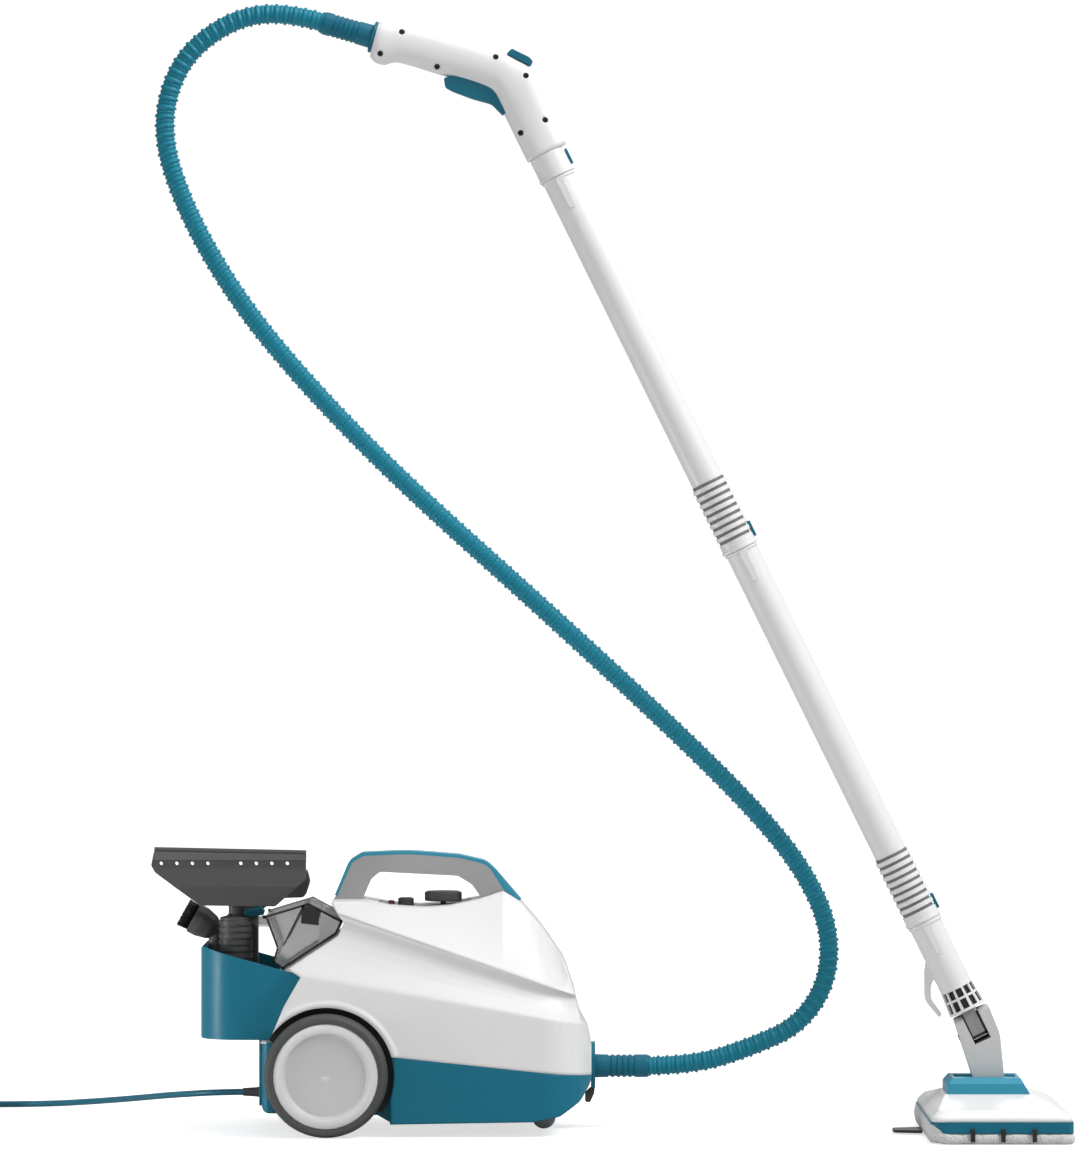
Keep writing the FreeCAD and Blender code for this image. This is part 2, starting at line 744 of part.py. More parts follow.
CASTER_R = mm("caster_dia") / 2
WHEEL_X = CASTER_X + mm("caster_trail")
caster_place = Placement(V(0, MID, 0), Rotation())
fork_plate = new_body("fork_plate", caster_place)
pad(fork_plate, "XY", ring(CASTER_X, 0, 20), 32, 36)
pad(fork_plate, "XY", ring(CASTER_X, 0, 4), 35, 60)
arm_line = [(WHEEL_X - 6, 34), (WHEEL_X + 6, 34), (WHEEL_X + 5, 10, 4), (WHEEL_X - 5, 10, 4)]
for side in (-1, 1):
    pad(fork_plate, "XZ", rounded(arm_line), *sorted((side * 8.2, side * 11.2)))
pin_place = Placement(V(WHEEL_X, MID - 11.2, CASTER_R), along("+Y"))
caster_fork = fuse("caster_fork", fork_plate, rod("caster_pin", 2, 22.4, pin_place))
caster_wheel = turned(
    "caster_wheel",
    [(2.05, -7.6), (CASTER_R - 1, -7.6, 2), (CASTER_R, -4), (CASTER_R, 4), (CASTER_R - 1, 7.6, 2),
     (2.05, 7.6)],
    Placement(V(WHEEL_X, MID, CASTER_R), along("+Y")),
)
keep(caster_fork, caster_wheel)

# --- hose socket at the nose ------------------------------------------------------------------

HOSE_Z = 68.8
HOSE_R = mm("hose_dia") / 2
socket_flange = new_body("socket_flange", canister)
flange_line = [(-25, 45, 16), (25, 45, 16), (27, 84, 14), (0, 100, 24), (-27, 84, 14)]
pad(socket_flange, "YZ", rounded(flange_line) + ring(0, HOSE_Z, 10), -17.5, -13)
latch_line = [(-24, 29.5, 2), (-18.5, 29.5, 1.5), (-14, 39, 3), (-13.5, 44.6), (-18.5, 44.6), (-24, 39, 3)]
socket_latch = new_body("socket_latch", canister)
pad(socket_latch, "XZ", rounded(latch_line), -9, 9)
CUFF_END = 46.0
grooves = []
for step in range(5):
    z = 14 + step * 6.4
    grooves += [(12.6, z), (11.4, z + 1), (11.4, z + 3), (12.6, z + 4)]
plug_line = [(0, -26), (9.7, -26, 1), (9.7, 0), (12.9, 0), (12.9, 5, 1)] + grooves
hose_plug = turned(
    "hose_plug",
    plug_line + [(12.6, CUFF_END + 10), (12, CUFF_END + 12.9), (0, CUFF_END + 12.9)],
    Placement(V(-13, MID, HOSE_Z), along("+X")),
)
keep(socket_flange, socket_latch, hose_plug)

# --- hose and cord routes ---------------------------------------------------------------------


def route_path(points, name):
    """Straight runs joined by tangent arcs, each as large as its two runs allow."""
    points = [V(*p) for p in points]
    edges, start, radii = [], points[0], []
    for before, here, after in zip(points, points[1:], points[2:]):
        back, ahead = (before - here), (after - here)
        shorter = min(back.Length, ahead.Length)
        half_turn = (math.pi - back.getAngle(ahead)) / 2
        reach = 0.45 * shorter
        radius = reach / math.tan(half_turn)
        radii.append(radius)
        back.normalize()
        ahead.normalize()
        bisector = (back + ahead).normalize()
        middle = here + bisector * (radius / math.cos(half_turn) - radius)
        edges.append(Part.LineSegment(start, here + back * reach).toShape())
        edges.append(Part.Arc(here + back * reach, middle, here + ahead * reach).toShape())
        start = here + ahead * reach
    edges.append(Part.LineSegment(start, points[-1]).toShape())
    print(name, "radii", [round(r) for r in radii])
    return Part.Wire(edges)


def cord_tube(label, points, alias):
    """A round tube along a route. Its volume is compared with its section times its length."""
    path = route_path(points, label)
    start = path.Vertexes[0].Point
    tangent = V(*points[1]) - V(*points[0])
    section = Part.Wire([Part.Circle(start, tangent, mm(alias) / 2).toShape()])
    solid = path.makePipeShell([section], True, False)
    expected = path.Length * math.pi * (mm(alias) / 2) ** 2
    print(label, "length", round(path.Length), "volume ratio", round(solid.Volume / expected, 4))
    obj = doc.addObject("Part::Feature", label)
    obj.Shape = solid
    return obj


HOSE_ROUTE = [
    (46, 36.5, 68.8),
    (97, 36.5, 69.5),
    (160, 36, 90),
    (212, 34, 114),
    (243.5, 31, 163),
    (244, 28, 226),
    (213, 25, 289),
    (164, 21, 349),
    (78, 15, 435),
    (-70, 4, 572),
    (-222, -6, 708),
    (-330, -12, 818),
    (-408, -17, 914),
    (-464, -21, 1014),
    (-488, -24, 1096),
    (-468, -26, 1168),
    (-415, -26.5, 1212),
    (-356, -26.5, 1224),
    (-310, -26.5, 1210.5),
]
CORD_ROUTE = [
    (-400, 36.5, 40),
    (-430, 37, 39.5),
    (-462, 58, 36),
    (-490, 98, 31),
    (-515, 146, 25),
    (-545, 197, 18.5),
    (-582, 246, 12),
    (-627, 284, 6.5),
    (-676, 306, 4),
    (-722, 310, 3.5),
]
steam_hose = cord_tube("steam_hose", HOSE_ROUTE, "hose_dia")
power_cord = cord_tube("power_cord", CORD_ROUTE, "cord_dia")
cord_gland = turned(
    "cord_gland",
    [(0, -6), (5.4, -6), (5.4, 0), (6.5, 0), (5.2, 6), (4.3, 20.5), (0, 20.5)],
    Placement(V(-379.5, MID, 40), along("-X")),
)
COIL_ROWS = int(mm("coil_rows"))
COIL_MID, COIL_HEIGHT = mm("coil_dia") / 2, COIL_ROWS * mm("cord_dia")
COIL_CENTRE = V(-760, 310 - COIL_MID - 1.5 * mm("cord_dia"), 0)
coil_half = COIL_HEIGHT / 2
cord_coil = turned(
    "cord_coil",
    [
        (COIL_MID - coil_half, 0, 3),
        (COIL_MID + coil_half, 0, 3),
        (COIL_MID + coil_half, COIL_HEIGHT, 3),
        (COIL_MID - coil_half, COIL_HEIGHT, 3),
    ],
    Placement(COIL_CENTRE, Rotation()),
)
PLUG_Z = COIL_HEIGHT + 19.1
plug_shell = turned(
    "plug_shell",
    [(0, 0), (4.4, 0), (5.5, 20), (12, 24, 6), (17, 34, 6), (17, 52), (19, 55), (19, 58, 1), (0, 58)],
    Placement(COIL_CENTRE + V(-26, -40, PLUG_Z), along("+X")),
)
pins = []
for side in (-1, 1):
    start = COIL_CENTRE + V(32, -40 + side * 9.5, PLUG_Z)
    pins.append(rod(f"plug_pin_{side}", 2.4, 19, Placement(start, along("+X"))))
mains_plug = fuse("mains_plug", plug_shell, *pins)
keep(steam_hose, power_cord, cord_gland, cord_coil, mains_plug)

# --- inside the canister ----------------------------------------------------------------------

BOILER_R = mm("boiler_dia") / 2
boiler_place = Placement(V(-230, MID, 19 + BOILER_R + 4), along("+X"))
boiler_shell = rod("boiler_shell", of("boiler_dia", "{} / 2"), of("boiler_length"), boiler_place)
boiler_feet = []
for x in (-215, -145):
    boiler_feet.append(block(f"boiler_foot_{x}", (x, MID - 30, 18.7), (x + 12, MID + 30, 34)))
boiler = fuse("boiler", boiler_shell, *boiler_feet)
pump_body = rod("pump_body", 17, 42, Placement(V(-292, MID, 100), along("+X")))
pump_foot = block("pump_foot", (-286, MID - 12, 26), (-256, MID + 12, 86))
water_pump = fuse("water_pump", pump_body, pump_foot)
valve_body = block("valve_body", (-106, MID - 14, 52), (-78, MID + 14, 84))
valve_outlet = rod("valve_outlet", 6, 38.5, Placement(V(-78, MID, HOSE_Z), along("+X")))
valve_coil = rod("valve_coil", 11, 26, Placement(V(-92, MID, 84), Rotation()))
steam_valve = cut("steam_valve", fuse("valve", valve_body, valve_outlet, valve_coil),
                  rod("valve_room", 27.2, 50, Placement(V(CASTER_X, MID, 14), Rotation())))
board = block("board", (-245, MID - 26, 226), (-165, MID + 26, 228))
board_parts = [board]
for x in (-232, -205, -184):
    board_parts.append(block(f"board_part_{-x}", (x, MID - 18, 216), (x + 14, MID + 10, 227)))
control_board = fuse("control_board", *board_parts)
keep(boiler, water_pump, steam_valve, control_board)

# --- pistol handle ----------------------------------------------------------------------------

WAND_Y = mm("wand_plane")
grip = Placement(V(0, WAND_Y, 0), Rotation())
GRIP_HALF = mm("grip_width") / 2
shell_line = [
    (-249, 1211, 3),
    (-226, 1207.5, 80),
    (-171.7, 1194, 200),
    (-120.5, 1178.6, 20),
    (-111, 1176.6, 3),
    (-85, 1162.5, 3),
    (-77, 1153, 3),
    (-80, 1146, 4),
    (-45.1, 1078.7),
    (-87.2, 1058.1),
    (-112.2, 1109.1, 20),
    (-127, 1138, 25),
    (-179, 1152.5, 60),
    (-227.8, 1168.2, 25),
    (-241.5, 1163.4, 5),
    (-258.9, 1173.2, 4),
]
shell_core = inset(shell_line, 2.5)
trigger_slot = [(-182, 1136), (-182, 1167), (-128, 1156), (-100, 1124), (-106, 1100), (-125, 1100)]
SLIDE = V(0.898, 0, -0.44)  # the way the lock slider moves
slider_at = V(-95.1, 0, 1173.2)
slider_axis = Rotation(V(0, 1, 0), 26.1)
tilt = mm("wand_tilt")
WAND_TOP = V(-54.4, WAND_Y, 1042.4)  # where the first tube leaves the handle's collar
wand_turn = Rotation(V(0, 1, 0), -tilt) * Rotation(V(1, 0, 0), 180)
DOWN = wand_turn.multVec(V(0, 0, 1))


def wand(distance):
    """The place on the wand's axis this far below its top. Local Z runs down the wand."""
    return Placement(WAND_TOP + DOWN * distance, wand_turn)




def lock_slot(name):
    """The slot in the shell's top for the lock slider's stem."""
    slot = new_body(f"lock_slot_{name}", Placement(slider_at + V(0, WAND_Y, 0), slider_axis))
    pad(slot, "XY", rounded([(-6.5, -3), (9, -3), (9, 3), (-6.5, 3)]), -12, 0)
    return slot


CUFF_DIR = V(0.961, 0, -0.276)
cuff_turn = Rotation(V(0, 0, 1), CUFF_DIR)
cuff_start = V(-310, WAND_Y, 1210.5)
CUFF_LENGTH = 58.3
for number, (name, low, high) in enumerate((("near", -GRIP_HALF, 0), ("far", 0, GRIP_HALF))):
    shell = new_body(f"shell_{name}", grip)
    pad(shell, "XZ", rounded(shell_line), low, high)
    outer_face = low if name == "near" else high
    round_edges(shell, 2.4, lambda e, y=outer_face: all(
        abs(v.Point.y - y) < 0.01 for v in e.Vertexes), "Chamfer")
    core_low, core_high = (low + 2.5, 0.1) if name == "near" else (-0.1, high - 2.5)
    inside = new_body(f"shell_core_{name}", grip)
    pad(inside, "XZ", rounded(shell_core), core_low, core_high)
    slot = new_body(f"slot_{name}", grip)
    pad(slot, "XZ", rounded(trigger_slot), *((-10, 0.1) if name == "near" else (-0.1, 10)))
    keep(cut(
        f"handle_shell_{name}",
        shell,
        inside,
        slot,
        lock_slot(name),
        rod(f"cuff_bore_{name}", 10.2, 30, Placement(cuff_start + CUFF_DIR * 44, cuff_turn)),
        rod(f"collar_bore_{name}", 17, 60, wand(-62)),
    ))

screw_spots = [(-224, 1199.3), (-252.4 + 5, 1174.7 + 1), (-185.6, 1161.7), (-121.9, 1172.0)]
screw_spots += [(-89, 1151.6), (-68, 1103.4), (-94.6, 1089.5)]
screw_cutters, screws = [], []
for number, (x, z) in enumerate(screw_spots):
    place = Placement(V(x, WAND_Y - GRIP_HALF + 1, z), along("+Y"))
    screws.append(rod(f"screw_{number}", 2.3, 9, place))
    place = Placement(V(x, WAND_Y - GRIP_HALF - 2, z), along("+Y"))
    screw_cutters.append(rod(f"screw_hole_{number}", 2.5, 18, place))
near_shell = parts.pop("handle_shell_near")
near_shell.Label = "near_shell_blank"
handle_shell_near = cut("handle_shell_front", near_shell, *screw_cutters)
far_shell = parts.pop("handle_shell_far")
handle_screws = together("handle_screws", screws)
keep(handle_shell_near, far_shell, handle_screws)

trigger = new_body("trigger", grip)
trigger_line = [
    (-178.5, 1149.5, 2),
    (-177, 1140, 5),
    (-169, 1135.5, 5),
    (-147.7, 1127.5, 20),
    (-126.5, 1121.6, 12),
    (-114.5, 1109.5, 1.5),
    (-108, 1113, 4),
    (-112, 1124, 10),
    (-129, 1143.5, 16),
    (-165, 1153, 10),
]
pad(trigger, "XZ", rounded(trigger_line), -9, 9)
lock_slider = new_body("lock_slider", Placement(slider_at + V(0, WAND_Y, 0), slider_axis))
slider_line = [(-14.5, -3.3, 0.5), (-8.5, -4.2), (14.5, -4.2, 0.5), (14.5, 1.5, 1.5), (9, 3.6, 4), (-12, 3.6, 2)]
pad(lock_slider, "XZ", rounded(slider_line), -8, 8)
pad(lock_slider, "XY", rounded([(-6, -2.5), (2, -2.5), (2, 2.5), (-6, 2.5)]), -10, -3)
trigger_switch = block(
    "trigger_switch", (-150, WAND_Y - 15.4, 1155), (-130, WAND_Y + 15.4, 1165)
)
cuff_line = [(0, 0), (11.9, 0), (12.6, 3)]
for step in range(6):
    z = 10 + step * 5.2
    cuff_line += [(12.6, z), (11.6, z + 0.8), (11.6, z + 2.6), (12.6, z + 3.4)]
cuff_line += [(12.8, CUFF_LENGTH - 4), (17.5, CUFF_LENGTH - 3, 1), (17.5, CUFF_LENGTH, 1)]
cuff_line += [(10, CUFF_LENGTH), (10, CUFF_LENGTH + 9), (0, CUFF_LENGTH + 9)]
handle_cuff = turned("handle_cuff", cuff_line, Placement(cuff_start, cuff_turn))
keep(trigger, lock_slider, trigger_switch, handle_cuff)

# --- wand -------------------------------------------------------------------------------------

SOCKET_R, SOCKET_BORE = mm("socket_dia") / 2, mm("socket_bore") / 2
TUBE_R, SPIGOT_R = mm("tube_dia") / 2, mm("spigot_dia") / 2
SPIGOT = mm("spigot_length")
LENGTH = mm("tube_length")
BUTTON_BACK = 15.0  # a release button's middle above the joint


def button_line(margin):
    """A release button's rounded outline, seen along the wand's local X."""
    half_y, half_z = 5 + margin, 9 + margin
    return [(-half_y, -half_z, half_y * 0.9), (half_y, -half_z, half_y * 0.9),
            (half_y, half_z, half_y * 0.9), (-half_y, half_z, half_y * 0.9)]


def release_button(label, joint):
    """The button of a socket end, on its upper side."""
    body = new_body(label, wand(joint - BUTTON_BACK))
    pad(body, "YZ", rounded(button_line(0)), 18.6, 22.3)
    return body


def key_rib(body, start):
    """The raised rib that keys a tube below a joint."""
    line = [(-4.2, start + 2, 2), (4.2, start + 2, 2), (3.4, start + 38, 3), (-3.4, start + 38, 3)]
    pad(body, "XZ", rounded(line), TUBE_R - 2.5, TUBE_R + 1.4)


def tube_end(label, blank, joint):
    """Cuts the socket's bore and the button's window."""
    window = new_body(label + "_window", wand(joint - BUTTON_BACK))
    pad(window, "YZ", rounded(button_line(0.35)), 12, 30)
    bore = rod(label + "_bore", of("socket_bore", "{} / 2"), 40, wand(joint - SPIGOT - 0.5))
    return cut(label, blank, window, bore)


collar_line = [(16, -48), (16.8, -48), (16.8, -28), (SOCKET_R, -28), (SOCKET_R, -3.5),
               (SOCKET_R + 1, -3, 0.5), (SOCKET_R + 1, -0.2, 0.5), (13, -0.2), (13, -32)]
handle_collar = tube_end("handle_collar", turned("collar_blank", collar_line, wand(0)), 0)
keep(handle_collar, release_button("collar_button", 0))

rib_profile = []
for step in range(8):
    z = 78 - step * 8.2
    rib_profile += [(SOCKET_R + 0.3, z), (SOCKET_R + 0.3, z - 4.4), (TUBE_R, z - 5), (TUBE_R, z - 7.6)]


def tube(name, top):
    """One extension tube: plug end, tube, ribbed end and socket."""
    ribs = [(r, LENGTH - z) for r, z in rib_profile]
    line = [(13, -SPIGOT), (SPIGOT_R, -SPIGOT, 0.6), (SPIGOT_R, 0), (SOCKET_R - 0.6, 0.1),
            (SOCKET_R - 0.6, 3), (TUBE_R, 4)]
    line += [(TUBE_R, LENGTH - 78.5)] + ribs
    line += [(SOCKET_R, LENGTH - 12), (SOCKET_R, LENGTH - 4), (SOCKET_R + 1, LENGTH - 3.5, 0.5),
             (SOCKET_R + 1, LENGTH - 0.2, 0.5), (SPIGOT_R - 1, LENGTH - 0.2), (13, LENGTH - 36)]
    blank = turned(name + "_blank", line, wand(top))
    key_rib(blank, 0)
    return tube_end(name, blank, top + LENGTH)


keep(
    tube("upper_tube", 0),
    release_button("upper_button", LENGTH),
    tube("lower_tube", LENGTH),
    release_button("lower_button", 2 * LENGTH),
)

# --- mop neck ---------------------------------------------------------------------------------

NECK = 2 * LENGTH  # distance of the lowest joint down the wand
CAGE_TOP, CAGE_END = 78.0, 107.0  # the grid cage, below the joint
neck_line = [
    (13, -SPIGOT),
    (SPIGOT_R, -SPIGOT, 0.6),
    (SPIGOT_R, 0),
    (SOCKET_R, 0.1),
    (SOCKET_R, 4),
    (TUBE_R + 0.4, 5),
    (TUBE_R + 0.4, CAGE_TOP),
    (20.8, CAGE_END),
    (18.4, CAGE_END),
    (15.6, CAGE_TOP + 2),
    (0, CAGE_TOP + 2),
    (0, CAGE_TOP - 8),
    (13, CAGE_TOP - 8),
]
neck_blank = turned("neck_blank", neck_line, wand(NECK))
key_rib(neck_blank, 0)
hook_line = [
    (-16, 38),
    (-24, 50, 12),
    (-37.5, 78, 18),
    (-31.5, 102, 1.8),
    (-27, 99, 1.8),
    (-30.5, 79, 12),
    (-24, 66, 10),
    (-16, 60),
]
hook = new_body("hook", wand(NECK))
pad(hook, "XZ", rounded(hook_line), -4.5, 4.5)
windows = []
for row, (low, high) in enumerate(((CAGE_TOP + 3, CAGE_TOP + 12.5), (CAGE_TOP + 15, CAGE_END - 3))):
    for step in range(12):
        turn = Placement(V(0, 0, 0), Rotation(V(0, 0, 1), 30 * step))
        window = doc.addObject("Part::Box", f"window_{row}_{step}")
        window.Length, window.Width, window.Height = 14, 7, high - low
        window.Placement = wand(NECK) * turn * Placement(V(10, -3.5, low), Rotation())
        windows.append(window)
tongue = new_body("tongue", wand(NECK))
TONGUE_HALF = 8.5
STEER = 131.0  # the steering pin, below the joint
tongue_line = [(-9, CAGE_TOP), (9, CAGE_TOP), (9, STEER + 9, 2), (-9, STEER + 9, 2)]
pad(tongue, "XZ", rounded(tongue_line), -TONGUE_HALF, TONGUE_HALF)
neck_hole = rod("steer_bore", 3.05, 40,
                wand(NECK) * Placement(V(-20, 0, STEER), Rotation(V(0, 1, 0), 90)))
steam_way = rod("steam_way", 4, 60, wand(NECK + CAGE_TOP - 20))
mop_neck = cut("mop_neck", fuse("neck_whole", cut("neck_caged", neck_blank, *windows), hook, tongue),
               neck_hole, steam_way)
keep(mop_neck)

# --- yoke -------------------------------------------------------------------------------------

PITCH = (415.0, 52.0)  # X and Z of the hinge between yoke and head
yoke_line = [
    (376.2, 126.6, 3),
    (413.5, 142.0, 3),
    (426.8, 109.6, 40),
    (431.5, 62, 8),
    (427, 38, 11),
    (403, 38, 11),
    (397.5, 62, 8),
]
yoke_body = new_body("yoke_body", grip)
pad(yoke_body, "XZ", rounded(yoke_line), -15, 15)
fork_gap = new_body("fork_gap", wand(NECK))
pad(fork_gap, "XZ", rounded([(-9.4, 90), (9.4, 90), (9.4, 144.5), (-9.4, 144.5)]), -20, 20)
steer_place = wand(NECK) * Placement(V(-22.5, 0, STEER), Rotation(V(0, 1, 0), 90))
pitch_bore = rod("pitch_bore", 3.55, 60, Placement(V(PITCH[0], WAND_Y - 30, PITCH[1]), along("+Y")))
below_steer = new_body("below_steer", wand(NECK))
pad(below_steer, "XY", rounded([(-60, -30), (60, -30), (60, 30), (-60, 30)]), STEER, STEER + 120)
fork_round = rod("fork_round", 22, 90, wand(NECK) * Placement(V(-45, 0, STEER), Rotation(V(0, 1, 0), 90)))
yoke_blank = common("yoke_blank", yoke_body, fuse("yoke_room", below_steer, fork_round))
yoke = cut("yoke", yoke_blank, fork_gap, rod("steer_hole", 3, 60, steer_place), pitch_bore)
steer_pin = rod("steer_pin", 3, 41, steer_place)
keep(yoke, steer_pin)

# --- mop head ---------------------------------------------------------------------------------

HEAD_HALF = mm("head_width") / 2
PAD_TOP = mm("pad_height")
head_plan = [(343, -HEAD_HALF + 2, 22), (497, -HEAD_HALF + 2, 8), (497, HEAD_HALF - 2, 8),
             (343, HEAD_HALF - 2, 22)]
base_plan = inset(head_plan, 3)


def head_slab(name, points, low, high):
    body = new_body(name, grip)
    pad(body, "XY", rounded(points), low, high)
    return body


mop_pad = new_body("mop_pad", grip)
pad(mop_pad, "XY", rounded(inset(head_plan, -1.2)), 0, PAD_TOP)
head_base = head_slab("head_base", head_plan, PAD_TOP, 24)
pocket(head_base, "XY", rounded(inset(head_plan, 4)), 15, 24)
cover_blank = doc.addObject("Part::Loft", "cover_blank")
cover_rings = []
cover_steps = [(24, 345, 496.5, HEAD_HALF - 3), (28, 345.5, 496, HEAD_HALF - 3.5),
               (36, 353, 484, HEAD_HALF - 14), (46, 365, 460, 52)]


def rounded_rectangle(name, z, low, high, half, corner):
    """A closed rounded rectangle at a height, in the head's frame."""
    line = rounded([(low, -half, corner), (high, -half, corner), (high, half, corner),
                    (low, half, corner)])
    wire = doc.addObject("Part::Feature", name)
    wire.Shape = Part.Wire([curve.toShape() for curve in line])
    wire.Placement = Placement(V(0, 0, z), Rotation())
    return wire


for z, low, high, half in cover_steps:
    cover_rings.append(rounded_rectangle(f"cover_ring_{z}", z, low, high, half, 12))
cover_blank.Sections = cover_rings
cover_blank.Solid = True
cover_blank.Ruled = True
core_blank = doc.addObject("Part::Loft", "cover_core")
core_blank.Sections = [
    rounded_rectangle(f"core_ring_{z}", z - (0.1 if z == 24 else 2.5), low + 3, high - 3, half - 3, 10)
    for z, low, high, half in cover_steps
]
core_blank.Solid = True
core_blank.Ruled = True
slot_room = block("cover_slot", (377, -17.5, 20), (444, 17.5, 60))
head_cover = cut("head_cover", cover_blank, core_blank, slot_room)
head_cover.Placement = grip

collar_side = [(367.9, 46), (367.9, 55.7), (374, 63), (447.5, 63), (457.3, 46)]
head_collar_body = new_body("head_collar_body")
pad(head_collar_body, "XZ", rounded(collar_side), -44, 44)
for side in (-1, 1):
    shoulder = [(side * 37, 64), (side * 46, 55), (side * 46, 64)]
    pocket(head_collar_body, "YZ", rounded(shoulder), 360, 465)
pitch_hole = rod("pitch_hole", 3.5, 80, Placement(V(PITCH[0], -40, PITCH[1]), along("+Y")))
head_collar = cut("head_collar", head_collar_body, block("collar_slot", (377, -17.5, 40), (444, 17.5, 80)),
                  pitch_hole)
head_collar.Placement = grip
pitch_pin = rod("pitch_pin", 3.5, 80, Placement(V(PITCH[0], WAND_Y - 40, PITCH[1]), along("+Y")))
clips = []
for x in (388.5, 421, 454.5):
    for side in (-1, 1):
        edge, face, tip = [side * (HEAD_HALF + d) for d in (-2, -0.6, 1.4)]
        clip = new_body(f"clip_{int(x)}_{side}")
        clip_line = [(edge, 12.5), (edge, 17), (tip, 17, 1), (tip, 3, 1), (face, 3), (face, 12.5)]
        pad(clip, "YZ", rounded(clip_line), x - 2.3, x + 2.3)
        clips.append(clip)
pad_clips = together("pad_clips", clips)
pad_clips.Placement = grip
pull_tab = new_body("pull_tab", grip)
pad(pull_tab, "XY", rounded([(311, -16, 7), (341.8, -24), (341.8, 24), (311, 16, 7)]), 2, 5)
keep(mop_pad, head_base, head_cover, head_collar, pitch_pin, pad_clips, pull_tab)

# --- write ------------------------------------------------------------------------------------

doc.recompute()
broken = [o.Name for o in doc.Objects if {"Invalid", "Error"} & set(o.State)]
for name, obj in parts.items():
    if obj.Shape.isNull() or not obj.Shape.isValid() or not obj.Shape.Solids:
        broken.append(name)
if broken:
    raise RuntimeError(f"these failed: {broken}")
if len(parts) > 60:
    raise RuntimeError("more than 60 sub-parts")
os.makedirs("parts", exist_ok=True)
for name, obj in parts.items():
    obj.Shape.exportStep(f"parts/{name}.step")
    size = obj.Shape.BoundBox
    print(f"{name:20} solids {len(obj.Shape.Solids)}  "
          f"x {size.XMin:8.1f} {size.XMax:8.1f}  y {size.YMin:8.1f} {size.YMax:8.1f}  "
          f"z {size.ZMin:8.1f} {size.ZMax:8.1f}  {obj.Shape.Volume / 1000:9.1f} cm3")
print(len(parts), "sub-parts")
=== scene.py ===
"""Looks of the canister steam cleaner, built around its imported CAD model. Metres, row frame."""

import json
import math
import random

import bmesh
import bpy
import numpy as np
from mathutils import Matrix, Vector
from mathutils.bvhtree import BVHTree


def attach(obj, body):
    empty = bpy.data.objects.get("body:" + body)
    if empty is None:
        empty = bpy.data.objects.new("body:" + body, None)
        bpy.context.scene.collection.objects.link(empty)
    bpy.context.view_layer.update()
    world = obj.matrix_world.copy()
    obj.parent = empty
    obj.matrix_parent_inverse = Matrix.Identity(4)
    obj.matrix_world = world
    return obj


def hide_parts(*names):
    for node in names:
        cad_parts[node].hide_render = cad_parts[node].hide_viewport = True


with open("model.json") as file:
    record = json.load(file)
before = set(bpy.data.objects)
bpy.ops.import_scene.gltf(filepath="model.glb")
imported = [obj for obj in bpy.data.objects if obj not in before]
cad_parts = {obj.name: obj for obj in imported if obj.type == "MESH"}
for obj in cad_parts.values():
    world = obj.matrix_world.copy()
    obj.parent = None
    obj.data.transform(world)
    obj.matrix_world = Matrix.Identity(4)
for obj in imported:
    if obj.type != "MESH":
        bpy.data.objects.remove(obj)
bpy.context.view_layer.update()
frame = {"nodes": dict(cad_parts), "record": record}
nodes = frame["nodes"]
random.seed(7)

CANISTER_Y = 0.0365  # middle plane of the canister
WAND_Y = -0.0265  # middle plane of the wand and the mop head

# --- camera and scene helpers -------------------------------------------------------------------

camera_data = bpy.data.cameras.new("camera")
camera_data.lens = 199.4
camera_data.sensor_width = 36
camera_data.clip_end = 60
camera = bpy.data.objects.new("camera", camera_data)
camera.location = (-0.0736, -6.9635, 0.609)
camera.rotation_euler = (math.radians(90), 0, 0)
bpy.context.scene.collection.objects.link(camera)
bpy.context.scene.camera = camera


def link(obj):
    bpy.context.scene.collection.objects.link(obj)
    return obj


def mesh_object(name, verts, faces, smooth=True):
    """A new mesh object. Its faces are made to point outwards."""
    data = bpy.data.meshes.new(name)
    data.from_pydata([tuple(v) for v in verts], [], faces)
    work = bmesh.new()
    work.from_mesh(data)
    bmesh.ops.remove_doubles(work, verts=work.verts, dist=1e-6)
    bmesh.ops.recalc_face_normals(work, faces=work.faces)
    work.to_mesh(data)
    work.free()
    if smooth:
        data.shade_smooth()
    return link(bpy.data.objects.new(name, data))


def area_light(name, place, target, size, power):
    data = bpy.data.lights.new(name, "AREA")
    data.shape = "RECTANGLE"
    data.size, data.size_y = size
    data.energy = power
    lamp = link(bpy.data.objects.new(name, data))
    lamp.location = place
    lamp.visible_camera = False
    lamp.rotation_euler = (Vector(target) - Vector(place)).to_track_quat("-Z", "Y").to_euler()
    return lamp


# --- shapes -------------------------------------------------------------------------------------


def skin(rings, closed_ends=True):
    """Vertices and faces of a tube through rings that all have the same number of points."""
    sides = len(rings[0])
    verts = [point for loop in rings for point in loop]
    faces = []
    for ring in range(len(rings) - 1):
        a, b = ring * sides, (ring + 1) * sides
        for k in range(sides):
            faces.append((a + k, a + (k + 1) % sides, b + (k + 1) % sides, b + k))
    if closed_ends:
        faces.append(tuple(range(sides))[::-1])
        faces.append(tuple(range(len(verts) - sides, len(verts))))
    return verts, faces


def lathe(profile, place, axis, sides=20, closed_ends=True):
    """Vertices and faces of a turned shape. Profile rows are radius and distance along the axis."""
    axis = Vector(axis).normalized()
    first = axis.orthogonal().normalized()
    second = axis.cross(first)
    rings = []
    for radius, along in profile:
        rings.append([
            Vector(place) + axis * along
            + (first * math.cos(a) + second * math.sin(a)) * max(radius, 1e-5)
            for a in (2 * math.pi * k / sides for k in range(sides))
        ])
    return skin(rings, closed_ends)


def band(profile, place, axis, sides=48):
    """A ring with this closed profile. Profile rows are radius and distance along the axis."""
    return lathe(profile + profile[:1], place, axis, sides, closed_ends=False)


